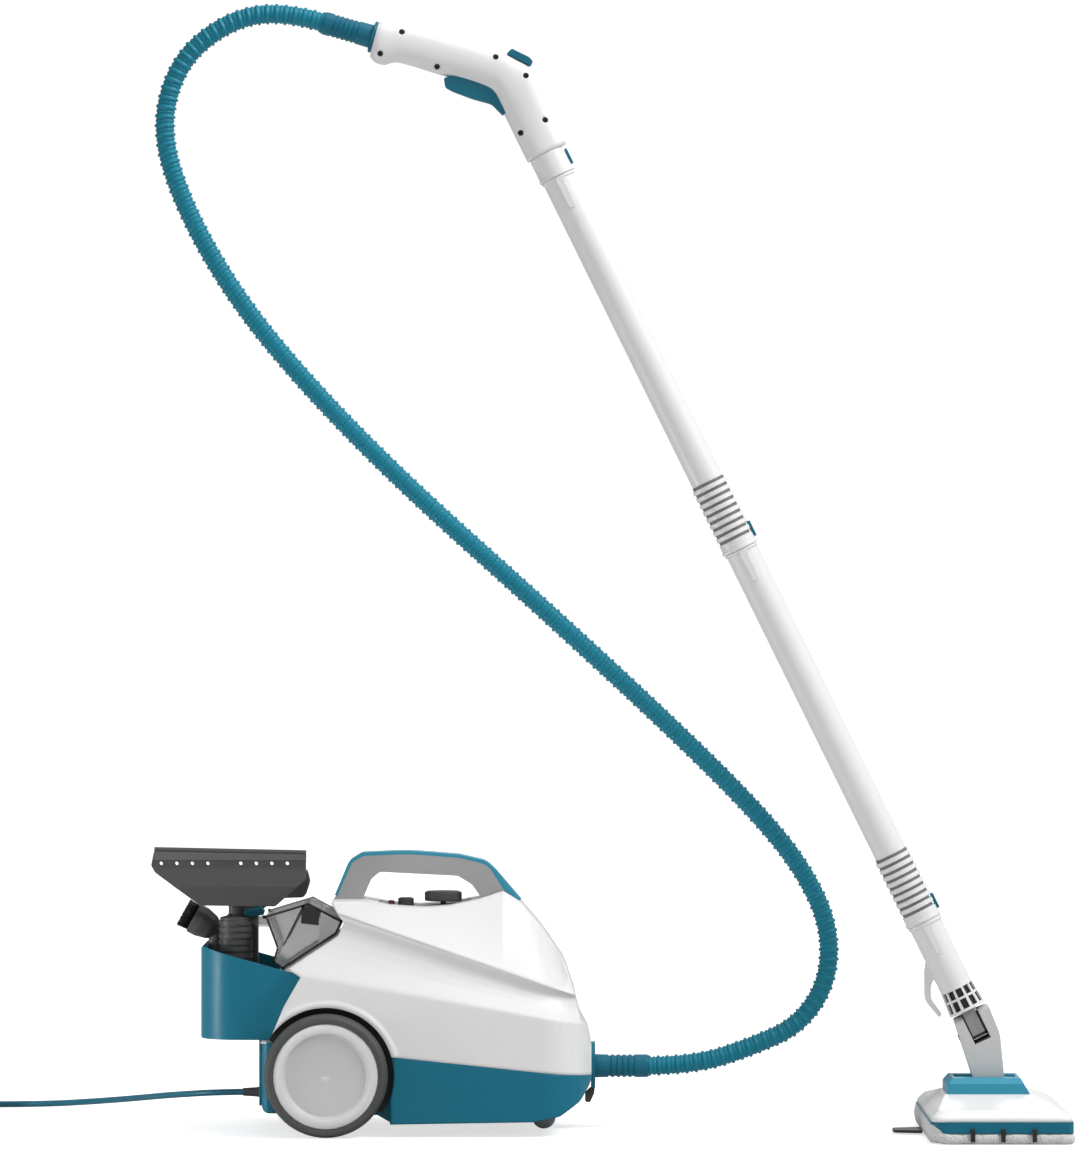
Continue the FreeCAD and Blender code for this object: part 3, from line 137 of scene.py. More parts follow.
def bar(corners):
    """A six-sided block from its four near corners and its four far corners."""
    verts = [Vector(corner) for corner in corners]
    faces = [(0, 1, 2, 3), (7, 6, 5, 4)]
    faces += [(k, (k + 1) % 4, (k + 1) % 4 + 4, k + 4) for k in range(4)]
    return verts, faces


def several(shapes):
    """One list of vertices and one of faces from several shapes."""
    verts, faces = [], []
    for more_verts, more_faces in shapes:
        faces += [tuple(i + len(verts) for i in face) for face in more_faces]
        verts += more_verts
    return verts, faces


def smooth_rows(rows, steps):
    """Rows of numbers with more rows between them, on a smooth line through all of them."""
    rows = np.array(rows, float)
    padded_rows = np.vstack([2 * rows[0] - rows[1], rows, 2 * rows[-1] - rows[-2]])
    out = []
    for i in range(1, len(rows)):
        a, b, c, d = padded_rows[i - 1 : i + 3]
        for k in range(steps):
            t = k / steps
            out.append(
                0.5 * (2 * b + (c - a) * t + (2 * a - 5 * b + 4 * c - d) * t**2
                       + (3 * b - a - 3 * c + d) * t**3)
            )
    out.append(rows[-1])
    return np.array(out)


def route_curve(name, points):
    """A NURBS curve with the route's points as its control points."""
    data = bpy.data.curves.new(name, "CURVE")
    data.dimensions = "3D"
    data.resolution_u = 16
    spline = data.splines.new("NURBS")
    spline.points.add(len(points) - 1)
    for point, place in zip(spline.points, points):
        point.co = (*place, 1)
    spline.order_u = 3
    spline.use_endpoint_u = True
    return link(bpy.data.objects.new(name, data))


def even_points(curve, step):
    """Points along a curve at an even spacing, read from its own line."""
    line = bpy.data.meshes.new_from_object(curve)
    points = np.array([v.co for v in line.vertices])
    bpy.data.meshes.remove(line)
    lengths = np.concatenate([[0], np.cumsum(np.linalg.norm(np.diff(points, axis=0), axis=1))])
    count = max(2, round(lengths[-1] / step))
    at = np.linspace(0, lengths[-1], count + 1)
    return np.stack([np.interp(at, lengths, points[:, k]) for k in range(3)], axis=1)


def round_tube(points, radii, sides):
    """Vertices and faces of a tube around a line, with a radius for each point of the line."""
    tangents = np.gradient(points, axis=0)
    tangents /= np.linalg.norm(tangents, axis=1)[:, None]
    side = np.cross(tangents[0], (0.0, 1.0, 0.2))
    rings = []
    for place, along, radius in zip(points, tangents, radii):
        side = side - along * side.dot(along)
        side /= np.linalg.norm(side)
        up = np.cross(along, side)
        rings.append([
            place + radius * (math.cos(a) * side + math.sin(a) * up)
            for a in (2 * math.pi * k / sides for k in range(sides))
        ])
    return skin(rings)


# --- materials ----------------------------------------------------------------------------------


def principled(name, color, roughness, **inputs):
    """A new material with a Principled shader. Returns (material, nodes, links, shader)."""
    made = bpy.data.materials.new(name)
    made.use_nodes = True
    tree = made.node_tree
    shader = tree.nodes["Principled BSDF"]
    shader.inputs["Base Color"].default_value = (*color, 1)
    shader.inputs["Roughness"].default_value = roughness
    for key, value in inputs.items():
        shader.inputs[key.replace("_", " ")].default_value = value
    return made, tree.nodes, tree.links, shader


def noise(node_set, links, scale, detail=3, roughness=0.5):
    """A noise texture in the object's own coordinates."""
    place = node_set.new("ShaderNodeTexCoord")
    texture = node_set.new("ShaderNodeTexNoise")
    texture.inputs["Scale"].default_value = scale
    texture.inputs["Detail"].default_value = detail
    texture.inputs["Roughness"].default_value = roughness
    links.new(place.outputs["Object"], texture.inputs["Vector"])
    return texture


def spread(node_set, links, source, low, high):
    """Maps a noise output, which mostly lies between 0.3 and 0.7, to a range."""
    ramp = node_set.new("ShaderNodeMapRange")
    ramp.inputs["From Min"].default_value = 0.3
    ramp.inputs["From Max"].default_value = 0.7
    ramp.inputs["To Min"].default_value = low
    ramp.inputs["To Max"].default_value = high
    links.new(source, ramp.inputs["Value"])
    return ramp.outputs["Result"]


def two_tones(node_set, links, source, color, low, high):
    """A mix of a darker and a lighter shade of a colour. Returns its output."""
    mix = node_set.new("ShaderNodeMix")
    mix.data_type = "RGBA"
    mix.inputs["A"].default_value = (*[c * low for c in color], 1)
    mix.inputs["B"].default_value = (*[min(1, c * high) for c in color], 1)
    links.new(source, mix.inputs["Factor"])
    return mix.outputs["Result"]


def relief(node_set, links, shader, source, strength, distance):
    """Bumps on a shader from a height. Returns the bump node."""
    bump = node_set.new("ShaderNodeBump")
    bump.inputs["Strength"].default_value = strength
    bump.inputs["Distance"].default_value = distance
    links.new(source, bump.inputs["Height"])
    links.new(bump.outputs["Normal"], shader.inputs["Normal"])
    return bump


def plastic(name, color, roughness=0.35, grain=900, depth=0.00001, mottle=0.04, edge=0.0009,
            **inputs):
    """Moulded plastic: a fine spark-eroded grain, faint cloudiness, uneven polish, soft edges."""
    made, node_set, links, shader = principled(name, color, roughness, **inputs)
    cloud = noise(node_set, links, 14, 4)
    tones = two_tones(node_set, links, cloud.outputs["Fac"], color, 1 - mottle, 1 + mottle)
    links.new(tones, shader.inputs["Base Color"])
    polish = noise(node_set, links, 60, 5, 0.6)
    links.new(
        spread(node_set, links, polish.outputs["Fac"], roughness * 0.85, roughness * 1.15),
        shader.inputs["Roughness"],
    )
    grains = noise(node_set, links, grain, 2)
    bump = relief(node_set, links, shader, grains.outputs["Fac"], 0.5, depth)
    if edge:
        soft = node_set.new("ShaderNodeBevel")
        soft.samples = 4
        soft.inputs["Radius"].default_value = edge
        links.new(soft.outputs["Normal"], bump.inputs["Normal"])
    return made


def metal(name, color, roughness):
    """Turned metal with fine scratches along it."""
    made, node_set, links, shader = principled(name, color, roughness, Metallic=1.0)
    scratches = noise(node_set, links, 400, 6, 0.7)
    links.new(
        spread(node_set, links, scratches.outputs["Fac"], roughness * 0.6, roughness * 1.5),
        shader.inputs["Roughness"],
    )
    return made


def clear_plastic(name, tint, roughness=0.06):
    """Smoked clear plastic, a little uneven from moulding."""
    made, node_set, links, shader = principled(
        name, tint, roughness, Transmission_Weight=0.9, IOR=1.3, Alpha=0.55
    )
    waves = noise(node_set, links, 35, 2)
    relief(node_set, links, shader, waves.outputs["Fac"], 0.3, 0.0003)
    return made


def microfibre(name, color):
    """Looped microfibre: small tufts in rows, soft and matt."""
    made, node_set, links, shader = principled(
        name, color, 0.95, Sheen_Weight=0.5, Sheen_Roughness=0.5
    )
    place = node_set.new("ShaderNodeTexCoord")
    loops = node_set.new("ShaderNodeTexVoronoi")
    loops.inputs["Scale"].default_value = 420
    loops.inputs["Randomness"].default_value = 0.7
    links.new(place.outputs["Object"], loops.inputs["Vector"])
    fluff = noise(node_set, links, 90, 5, 0.7)
    tones = two_tones(node_set, links, fluff.outputs["Fac"], color, 0.8, 1.1)
    links.new(tones, shader.inputs["Base Color"])
    height = node_set.new("ShaderNodeMath")
    height.operation = "ADD"
    links.new(loops.outputs["Distance"], height.inputs[0])
    links.new(fluff.outputs["Fac"], height.inputs[1])
    relief(node_set, links, shader, height.outputs["Value"], 0.8, 0.0012)
    return made


WHITE = plastic("white_plastic", (0.79, 0.79, 0.79), 0.36, mottle=0.015)
TEAL = plastic("teal_plastic", (0.002, 0.145, 0.225), 0.38, mottle=0.03, Specular_IOR_Level=0.3)
# a paler copy of the teal plastic: painted highlight for the top-lit collar and trim
LIT_TEAL = plastic("teal_painted_highlight", (0.035, 0.29, 0.42), 0.4, mottle=0.03,
                    Specular_IOR_Level=0.3)
HOUSING = plastic("housing_plastic", (0.79, 0.79, 0.79), 0.36, mottle=0.015, edge=0.005)
# a darker grey for the tube grooves: painted shade
GROOVE_SHADE = plastic("groove_painted_shade", (0.17, 0.17, 0.17), 0.5)
COVER = plastic("cover_plastic", (0.85, 0.85, 0.85), 0.36, mottle=0.015, edge=0.004)
BASIN = plastic("basin_plastic", (0.002, 0.152, 0.236), 0.38, mottle=0.03, edge=0.004,
                Specular_IOR_Level=0.3)
# a darker copy of the white plastic for the yoke: painted shade
YOKE_SHADED = plastic("yoke_painted_shade", (0.58, 0.578, 0.57), 0.4, mottle=0.02)
# a lighter copy of the wheel grey: painted highlight on the rim's bevel
RING_HIGHLIGHT = plastic("wheel_ring_painted_highlight", (0.70, 0.70, 0.70), 0.36, mottle=0.02)
GREY = plastic("grey_plastic", (0.36, 0.36, 0.36), 0.5, grain=700, depth=0.00004)
PALE = plastic("wheel_plastic", (0.56, 0.56, 0.56), 0.38, mottle=0.02)
DARK = plastic("dark_plastic", (0.06, 0.062, 0.06), 0.5, grain=700, depth=0.00004,
               Specular_IOR_Level=0.35)
BLACK = plastic("black_plastic", (0.008, 0.008, 0.008), 0.5)
RUBBER = plastic("tyre_rubber", (0.065, 0.065, 0.065), 0.65, grain=500, depth=0.0001, mottle=0.1)
LIP = plastic("lip_rubber", (0.10, 0.10, 0.10), 0.6)
HOSE = plastic("hose_plastic", (0.004, 0.215, 0.312), 0.42, mottle=0.06, edge=0,
               Specular_IOR_Level=0.3)
SHEATH = plastic("cord_sheath", (0.008, 0.125, 0.19), 0.45, grain=1200, edge=0)
BRISTLE = plastic("bristle_nylon", (0.010, 0.010, 0.010), 0.4, edge=0)
LENS = plastic("lens_plastic", (0.10, 0.015, 0.012), 0.15, Coat_Weight=0.5)
BOARD = plastic("circuit_board", (0.01, 0.08, 0.03), 0.4)
STEEL = metal("turned_steel", (0.55, 0.56, 0.57), 0.3)
BRASS = metal("machined_brass", (0.62, 0.45, 0.18), 0.32)
SMOKED = clear_plastic("smoked_plastic", (0.62, 0.63, 0.63))
FABRIC = microfibre("microfibre", (0.70, 0.70, 0.69))

# the record's slot, and the material that shows it
FINISHES = {
    "white_plastic": WHITE,
    "teal_plastic": TEAL,
    "grey_plastic": GREY,
    "dark_plastic": DARK,
    "black_plastic": BLACK,
    "smoked_clear": SMOKED,
    "red_lens": LENS,
    "tyre_rubber": RUBBER,
    "wheel_grey": PALE,
    "blade_rubber": LIP,
    "bristle": BRISTLE,
    "steel": STEEL,
    "hose_teal": HOSE,
    "cord_teal": SHEATH,
    "microfibre": FABRIC,
    "board_green": BOARD,
    "brass_valve": BRASS,
}
for row in frame["record"]["subparts"]:
    shown = nodes[row["node"]]
    shown.data.materials.clear()
    shown.data.materials.append(FINISHES[row["material_slot"]])
# CAD pieces whose plastic has its own shade, or needs softer edges than the rest of its slot. The
# paler teal of the collar and the trim is a painted highlight, and the darker grey of the yoke is
# painted shade.
for name, shade in (("head_collar", LIT_TEAL), ("handle_trim", LIT_TEAL), ("yoke", YOKE_SHADED),
                    ("upper_housing", HOUSING), ("head_cover", COVER), ("lower_housing", BASIN),
                    ("rear_panel", BASIN)):
    nodes[name].data.materials[0] = shade


def dress(obj, finish, body, *stands_for):
    """Gives a piece its material and its body, and hides the CAD nodes it stands for."""
    obj.data.materials.clear()
    obj.data.materials.append(FINISHES[finish])
    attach(obj, body)
    if stands_for:
        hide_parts(*stands_for)
    return obj


# --- hose and cord ------------------------------------------------------------------------------

HOSE_ROUTE = [
    (0.046, 0.0365, 0.0688),
    (0.097, 0.0365, 0.0695),
    (0.160, 0.036, 0.090),
    (0.212, 0.034, 0.114),
    (0.2435, 0.031, 0.163),
    (0.244, 0.028, 0.226),
    (0.213, 0.025, 0.289),
    (0.164, 0.021, 0.349),
    (0.078, 0.015, 0.435),
    (-0.070, 0.004, 0.572),
    (-0.222, -0.006, 0.708),
    (-0.330, -0.012, 0.818),
    (-0.408, -0.017, 0.914),
    (-0.464, -0.021, 1.014),
    (-0.488, -0.024, 1.096),
    (-0.468, -0.026, 1.168),
    (-0.415, -0.0265, 1.212),
    (-0.356, -0.0265, 1.224),
    (-0.310, -0.0265, 1.2105),
]
HOSE_PITCH = 0.0101  # from one rib of the hose to the next
RIB_STEPS = 10
hose_line = route_curve("hose_line", HOSE_ROUTE)
hose_points = even_points(hose_line, HOSE_PITCH / RIB_STEPS)
bpy.data.objects.remove(hose_line)
# radius over one pitch, in millimetres: a round rib, then a flatter band with a faint ridge
rib_profile = (11.5, 11.5, 10.9, 9.6, 9.3, 10.2, 10.4, 10.2, 9.3, 10.2)
hose_radii = [rib_profile[i % RIB_STEPS] / 1000 for i in range(len(hose_points))]
steam_hose = mesh_object("steam_hose_ribbed", *round_tube(hose_points, hose_radii, sides=28))
dress(steam_hose, "hose_teal", "canister", "steam_hose")

# control points from the canister to the coil
CORD_ROUTE = [
    (-0.400, 0.0365, 0.040),
    (-0.430, 0.037, 0.0395),
    (-0.462, 0.058, 0.036),
    (-0.490, 0.098, 0.031),
    (-0.515, 0.146, 0.025),
    (-0.545, 0.197, 0.0185),
    (-0.582, 0.246, 0.012),
    (-0.627, 0.284, 0.0065),
    (-0.676, 0.306, 0.004),
    (-0.722, 0.310, 0.0036),
]
COIL_CENTRE = Vector((-0.760, 0.2575, 0))
COIL_TURNS, COIL_LAYERS = 4, 4  # turns beside each other, and layers on each other
TURN_POINTS = 12
LAYER_POINTS = COIL_TURNS * TURN_POINTS
CLIMB_POINTS = 6  # over this many points the cord climbs to the next layer
CORD = 0.007
CORD_LYING = 0.0036  # height of the cord's middle line on the floor
OUTER_TURN = 0.0525  # radius of the outermost turn
CURVE_SHARE = 0.968  # the curve's radius as a share of its control points' radius
TAIL_TURN = 0.053  # radius of the end that climbs over the coil to the plug
coil_route = []
turn = 0
for layer in range(COIL_LAYERS):
    inwards = layer % 2 == 0
    for k in range(LAYER_POINTS):
        angle = math.pi / 2 + 2 * math.pi * turn / TURN_POINTS
        share = k / (LAYER_POINTS - 1)
        across = (COIL_TURNS - 1) * (share if inwards else 1 - share)
        radius = (OUTER_TURN - across * CORD) / CURVE_SHARE
        climb = max(0.0, (k - LAYER_POINTS + CLIMB_POINTS) / CLIMB_POINTS)
        rise = CORD * climb if layer < COIL_LAYERS - 1 else 0.0
        wobble = 0.0004 * math.sin(turn * 1.7)
        height = CORD_LYING + layer * CORD + rise
        coil_route.append(
            COIL_CENTRE + Vector(((radius + wobble) * math.cos(angle),
                                  (radius + wobble) * math.sin(angle), height))
        )
        turn += 1
tail_route = []
for angle, height in ((100, 0.0252), (125, 0.0270), (150, 0.031), (175, 0.0375), (200, 0.044)):
    turned = math.radians(angle)
    tail_route.append(
        COIL_CENTRE + Vector((TAIL_TURN * math.cos(turned), TAIL_TURN * math.sin(turned), height))
    )
tail_route += [COIL_CENTRE + Vector((x, -0.040, 0.0471)) for x in (-0.043, -0.026)]
cord = route_curve("power_cord_coiled", CORD_ROUTE + coil_route + tail_route)
cord.data.bevel_depth = CORD / 2
cord.data.bevel_resolution = 5
cord.data.use_fill_caps = True
dress(cord, "cord_teal", "canister", "power_cord", "cord_coil")

# --- handle -------------------------------------------------------------------------------------

# the grip's top and bottom lines in the wand's plane, and its half width, all in millimetres
GRIP = [
    (-249.0, 1211.0, -258.9, 1173.2, 16.0),
    (-244.0, 1211.5, -253.0, 1167.0, 17.5),
    (-236.0, 1209.5, -243.0, 1164.5, 17.0),
    (-226.0, 1207.5, -231.0, 1167.2, 16.0),
    (-205.0, 1202.8, -212.0, 1162.8, 15.5),
    (-171.7, 1194.0, -181.0, 1153.0, 16.0),
    (-145.0, 1186.5, -158.0, 1147.5, 16.5),
    (-122.0, 1179.5, -138.0, 1141.0, 17.0),
    (-111.0, 1176.6, -125.0, 1134.0, 17.5),
    (-98.0, 1170.0, -117.0, 1120.0, 17.8),
    (-85.0, 1162.5, -112.2, 1109.1, 18.0),
    (-77.0, 1150.0, -108.0, 1100.5, 18.0),
    (-62.0, 1112.0, -97.0, 1078.0, 17.5),
    (-45.1, 1078.7, -87.2, 1058.1, 18.5),
]
GRIP_SIDES = 64
BOXINESS = 0.86  # 1 makes an oval section, less makes it boxier
SEAM_WIDTH, SEAM_HEIGHT = 0.06, 0.985  # as shares of the section's half width and height
grip_rings = []
for top_x, top_z, low_x, low_z, half in smooth_rows(GRIP, steps=7) / 1000:
    middle = Vector(((top_x + low_x) / 2, WAND_Y, (top_z + low_z) / 2))
    up = Vector((top_x - low_x, 0, top_z - low_z)) / 2
    loop = []
    for k in range(GRIP_SIDES):
        angle = 2 * math.pi * (k + 0.5) / GRIP_SIDES
        c, d = math.cos(angle), math.sin(angle)
        # the seam between the two shells is a shallow groove in the middle plane
        groove = SEAM_HEIGHT if abs(c) < SEAM_WIDTH else 1.0
        rise = math.copysign(abs(d) ** BOXINESS, d) * groove
        side = math.copysign(abs(c) ** BOXINESS, c)
        loop.append(middle + up * rise + Vector((0, -half * side, 0)))
    grip_rings.append(loop)
handle = mesh_object("handle_shells", *skin(grip_rings))

# screw holes in the near shell, with the screw heads sunk in them
SCREW_HOLE = 0.0031  # radius
# radius and depth below the shell, from the socket in the head's middle to its skirt
SCREW_HEAD = [(0.0009, 0.0030), (0.0010, 0.0019), (0.0022, 0.0018), (0.0029, 0.0024),
              (0.0029, 0.006)]
INWARDS = Vector((0, 1, 0))  # the way the screws go in
SCREWS = [(-0.2240, 1.1993), (-0.2474, 1.1757), (-0.1856, 1.1617), (-0.1219, 1.1720),
          (-0.0890, 1.1516), (-0.0680, 1.1034), (-0.0946, 1.0895)]
grip_verts, grip_faces = skin(grip_rings)
surface = BVHTree.FromPolygons([tuple(v) for v in grip_verts], grip_faces)
holes, heads = [], []
for x, z in SCREWS:
    spot = surface.ray_cast(Vector((x, -0.3, z)), INWARDS)[0]
    holes.append(lathe([(SCREW_HOLE, -0.006), (SCREW_HOLE, 0.005)], spot, INWARDS))
    heads.append(lathe(SCREW_HEAD, spot, INWARDS))
cutter = mesh_object("screw_cutter", *several(holes), smooth=False)
screw_heads = mesh_object("screw_heads", *several(heads))
dress(screw_heads, "black_plastic", "canister", "handle_screws")
hollow = handle.modifiers.new("screw_holes", "BOOLEAN")
hollow.operation = "DIFFERENCE"
hollow.object = cutter
bpy.context.view_layer.update()
graph = bpy.context.evaluated_depsgraph_get()
cut_mesh = bpy.data.meshes.new_from_object(handle.evaluated_get(graph))
handle.modifiers.clear()
handle.data = cut_mesh
bpy.data.objects.remove(cutter)
dress(handle, "white_plastic", "canister",
      "handle_shell_front", "handle_shell_far", "trigger_switch")

# --- wand, neck and yoke ------------------------------------------------------------------------

WAND_TOP = Vector((-0.0544, WAND_Y, 1.0424))
TILT = math.radians(26.2)
WAND_DOWN = Vector((math.sin(TILT), 0, -math.cos(TILT)))
WAND_UPPER = Vector((math.cos(TILT), 0, math.sin(TILT)))
TUBE = 0.452  # length of one extension tube
NECK = 2 * TUBE


def on_wand(down, upper=0.0, near=0.0):
    """A point this far below the wand's top, towards its upper side and towards the front."""
    return WAND_TOP + WAND_DOWN * down + WAND_UPPER * upper + Vector((0, -near, 0))


def wand_bar(down, upper, near):
    """A block on the wand between pairs of distances."""
    return bar([
        on_wand(NECK + down[a], upper[b], side)
        for side in near
        for a, b in ((0, 0), (1, 0), (1, 1), (0, 1))
    ])


# dark grey bands in the grooves of each tube's ribbed end: painted shade in the grooves
GROOVES, RIB_PITCH = 9, 0.0082
FIRST_GROOVE = TUBE - 0.0817
GROOVE_WALL = ((0.0172, 0), (0.0184, 0), (0.0184, 0.0036), (0.0172, 0.0036))  # radius, height
BUTTON_GAP = 22  # degrees, where the last two grooves stop short of the release button
for name, start in (("upper_tube", 0.0), ("lower_tube", TUBE)):
    grooves = []
    for step in range(GROOVES):
        low = start + FIRST_GROOVE + step * RIB_PITCH
        gap = BUTTON_GAP if step >= GROOVES - 2 else 0
        loops = []
        for k in range(49):
            angle = math.radians(gap + (360 - 2 * gap) * k / 48)
            loops.append([
                on_wand(low + down, radius * math.cos(angle), radius * math.sin(angle))
                for radius, down in GROOVE_WALL
            ])
        grooves.append(skin(loops, closed_ends=gap > 0))
    groove_shade_set = mesh_object(name + "_groove_shade", *several(grooves), smooth=False)
    dress(groove_shade_set, "grey_plastic", name + "_body")
    groove_shade_set.data.materials[0] = GROOVE_SHADE

# a black band inside the grid cage: painted shade seen through its openings
cage_shade = band([(0.0145, 0.0803), (0.0152, 0.0803), (0.0179, 0.1065), (0.0172, 0.1065)],
              on_wand(NECK), WAND_DOWN)
# a dark edge on three sides of the tongue's grey face: painted shadow in the gap round the tongue
TONGUE_SKIN = (0.0083, 0.0088)
tongue_gap_shade = [
    wand_bar((0.109, 0.139), (-0.009, -0.0076), TONGUE_SKIN),
    wand_bar((0.112, 0.139), (0.0068, 0.009), TONGUE_SKIN),
    wand_bar((0.136, 0.139), (-0.009, 0.009), TONGUE_SKIN),
]
cage_and_tongue_painted_shade = mesh_object("cage_and_tongue_painted_shade", *several([cage_shade] + tongue_gap_shade), smooth=False)
dress(cage_and_tongue_painted_shade, "black_plastic", "neck_body")
tongue_face = wand_bar((0.108, 0.1362), (-0.0077, 0.0069), (0.0083, 0.0087))
dress(mesh_object("tongue_face", *tongue_face, smooth=False), "grey_plastic", "neck_body")
# a black plate behind the tongue: painted shade in the gap of the fork
fork_gap_shade = wand_bar((0.133, 0.1444), (-0.0093, 0.0093), (-0.0147, -0.0132))
dress(mesh_object("yoke_gap_painted_shade", *fork_gap_shade, smooth=False), "black_plastic", "yoke_body")

# --- wheels -------------------------------------------------------------------------------------

AXLE = Vector((-0.305, CANISTER_Y, 0.067))
# radius, and distance from the canister's middle plane
RIM_LINE = [(0.0462, 0.1341), (0.0470, 0.1346), (0.0560, 0.1344), (0.0572, 0.1330),
            (0.0572, 0.1290), (0.0462, 0.1330)]
# black arcs inside the wheel wells, seen through the gap over the tyres: painted shadow
ARCH_SHADE_LINE = [(0.045, 0.0925), (0.0732, 0.0925), (0.0732, 0.094), (0.045, 0.094)]
ARCH_SHADE_START, ARCH_SHADE_SWEEP = -35, 185  # degrees, from straight ahead and over the wheel
ARCH_SHADE_STEPS = 40
for hand, way in (("left", -1), ("right", 1)):
    # a ring of lighter grey over the rim's bevel: a painted highlight
    ring_highlight_piece = mesh_object(f"wheel_ring_{hand}", *band(RIM_LINE, AXLE, (0, way, 0), sides=96))
    dress(ring_highlight_piece, "wheel_grey", f"wheel_{hand}_body")
    ring_highlight_piece.data.materials[0] = RING_HIGHLIGHT
    arch_shade = []
    for k in range(ARCH_SHADE_STEPS + 1):
        angle = math.radians(ARCH_SHADE_START + ARCH_SHADE_SWEEP * k / ARCH_SHADE_STEPS)
        ray = Vector((math.cos(angle), 0, math.sin(angle)))
        arch_shade.append([AXLE + ray * radius + Vector((0, way * depth, 0))
                      for radius, depth in ARCH_SHADE_LINE])
    arch_shade_piece = mesh_object(f"arch_painted_shadow_{hand}", *skin(arch_shade), smooth=False)
    dress(arch_shade_piece, "black_plastic", "canister")

# --- water tank, squeegee and brush -------------------------------------------------------------

TANK_SIDE = [(-376, 236.4), (-325.5, 251.5), (-288.5, 231.8), (-294.8, 217.6), (-353.8, 179),
             (-365, 187), (-360.3, 202.3), (-371.8, 233.5)]
TANK_FACE = 0.0702  # just outside the tank's side, from the canister's middle plane
PANEL_DEPTHS = (-0.0004, 0.0003)  # both faces of a panel, from the tank's side
EDGE_STRIP, RIB_STRIP = 2.4, 1.6  # widths of the frame's strips, in millimetres like the outline


def strip(start, end, width):
    """The four corners of a straight strip between two points, to its right-hand side."""
    a, b = Vector(start), Vector(end)
    over = Vector(((b - a).y, -(b - a).x)).normalized() * width
    return [a, b, b + over, a + over]


def tank_panel(corners):
    """A thin raised panel on each side of the tank."""
    made = []
    for side in (-1, 1):
        depths = [CANISTER_Y + side * (TANK_FACE + d) for d in PANEL_DEPTHS]
        made.append(bar([(x / 1000, y, z / 1000) for y in depths for x, z in corners]))
    return made


frame_strips = []
for start, end in zip(TANK_SIDE, TANK_SIDE[1:] + TANK_SIDE[:1]):
    frame_strips += tank_panel([tuple(v) for v in strip(start, end, EDGE_STRIP)])
frame_strips += tank_panel([tuple(v) for v in strip((-330, 249), (-352, 205), RIB_STRIP)])
frame_strips += tank_panel([(-333, 249), (-314, 244), (-314.5, 227), (-334, 229)])
dress(mesh_object("tank_frame", *several(frame_strips), smooth=False), "black_plastic", "canister")
tank_corner = tank_panel([(-312, 243), (-290, 231.5), (-295.5, 218.5), (-315, 206)])
dress(mesh_object("tank_corner", *several(tank_corner), smooth=False), "grey_plastic", "canister")

SQUEEGEE_Y = CANISTER_Y - 0.035
blade = [(-0.4951, 0.3062), (-0.3301, 0.3030), (-0.3301, 0.2965), (-0.4951, 0.2968)]
blade_face = bar([(x, SQUEEGEE_Y - y, z) for y in (0.0089, 0.0083) for x, z in blade])
squeegee_face = mesh_object("squeegee_blade_face", *blade_face, smooth=False)
dress(squeegee_face, "blade_rubber", "squeegee_tool_body")

BRUSH = Vector((-0.444, CANISTER_Y, 0.226))
BRUSH_TILT = math.radians(-61)
BRUSH_AXIS = Vector((math.sin(BRUSH_TILT), 0, math.cos(BRUSH_TILT)))
BRUSH_SIDE = Vector((math.cos(BRUSH_TILT), 0, -math.sin(BRUSH_TILT)))
TUFTS = ((0, 1), (0.006, 6), (0.012, 12))  # circles of tufts: radius, and how many
HAIRS, TUFT_RADIUS = 16, 0.0020  # bristles in one tuft, and how wide it is
LEAN = 6  # how much the bristles splay outwards


def across_brush(reach, angle):
    """A step across the brush's face."""
    return BRUSH_SIDE * reach * math.cos(angle) + Vector((0, reach * math.sin(angle), 0))


bristles = []
for circle, count in TUFTS:
    for step in range(count):
        foot = across_brush(circle, 2 * math.pi * step / count)
        for _ in range(HAIRS):
            reach = TUFT_RADIUS * math.sqrt(random.random())
            turn_by = random.uniform(0, 2 * math.pi)
            over = across_brush(reach, turn_by)
            lean = (BRUSH_AXIS + (foot + over) * LEAN).normalized()
            hair = [(0.0003, 0.0115), (0.0003, 0.0235 + random.uniform(0, 0.0012)), (0.0001, 0.025)]
            bristles.append(lathe(hair, BRUSH + foot + over, lean, sides=5))
bristle_set = mesh_object("bristle_set", *several(bristles))
dress(bristle_set, "bristle", "brush_tool_body", "brush_bristles")

# --- mop head -----------------------------------------------------------------------------------


def plan_line(x_low, x_high, half, corner_low, corner_high, count):
    """Points of a rounded rectangle seen from above, evenly spaced, about the wand's plane."""
    corners = [(x_high, -half, corner_high, -90), (x_high, half, corner_high, 0),
               (x_low, half, corner_low, 90), (x_low, -half, corner_low, 180)]
    line = []
    for x, y, r, start in corners:
        cx = x - r if x == x_high else x + r
        cy = y + r if y < 0 else y - r
        for k in range(13):
            angle = math.radians(start + 90 * k / 12)
            line.append((cx + r * math.cos(angle), WAND_Y + cy + r * math.sin(angle)))
    line = np.array(line + line[:1])
    lengths = np.concatenate([[0], np.cumsum(np.linalg.norm(np.diff(line, axis=0), axis=1))])
    at = np.linspace(0, lengths[-1], count, endpoint=False)
    return np.stack([np.interp(at, lengths, line[:, k]) for k in range(2)], axis=1)


PAD_POINTS = 360
CLIP_X = (0.3885, 0.421, 0.4545)
CLIP_SPREAD, CLIP_PRESS = 0.004, 0.0016  # how wide and how deep a clip presses the pad in
PAD_TOP = 0.012
REAR_FROM, REAR_RUN, REAR_LIFT = 0.362, 0.016, 0.011  # the rear edge's rise: start, run, height
pad_plan = plan_line(0.3430, 0.4970, 0.1425, 0.022, 0.008, PAD_POINTS)
pad_out = np.roll(pad_plan, -1, axis=0) - np.roll(pad_plan, 1, axis=0)
pad_out = np.stack([pad_out[:, 1], -pad_out[:, 0]], axis=1)
pad_out /= np.linalg.norm(pad_out, axis=1)[:, None]
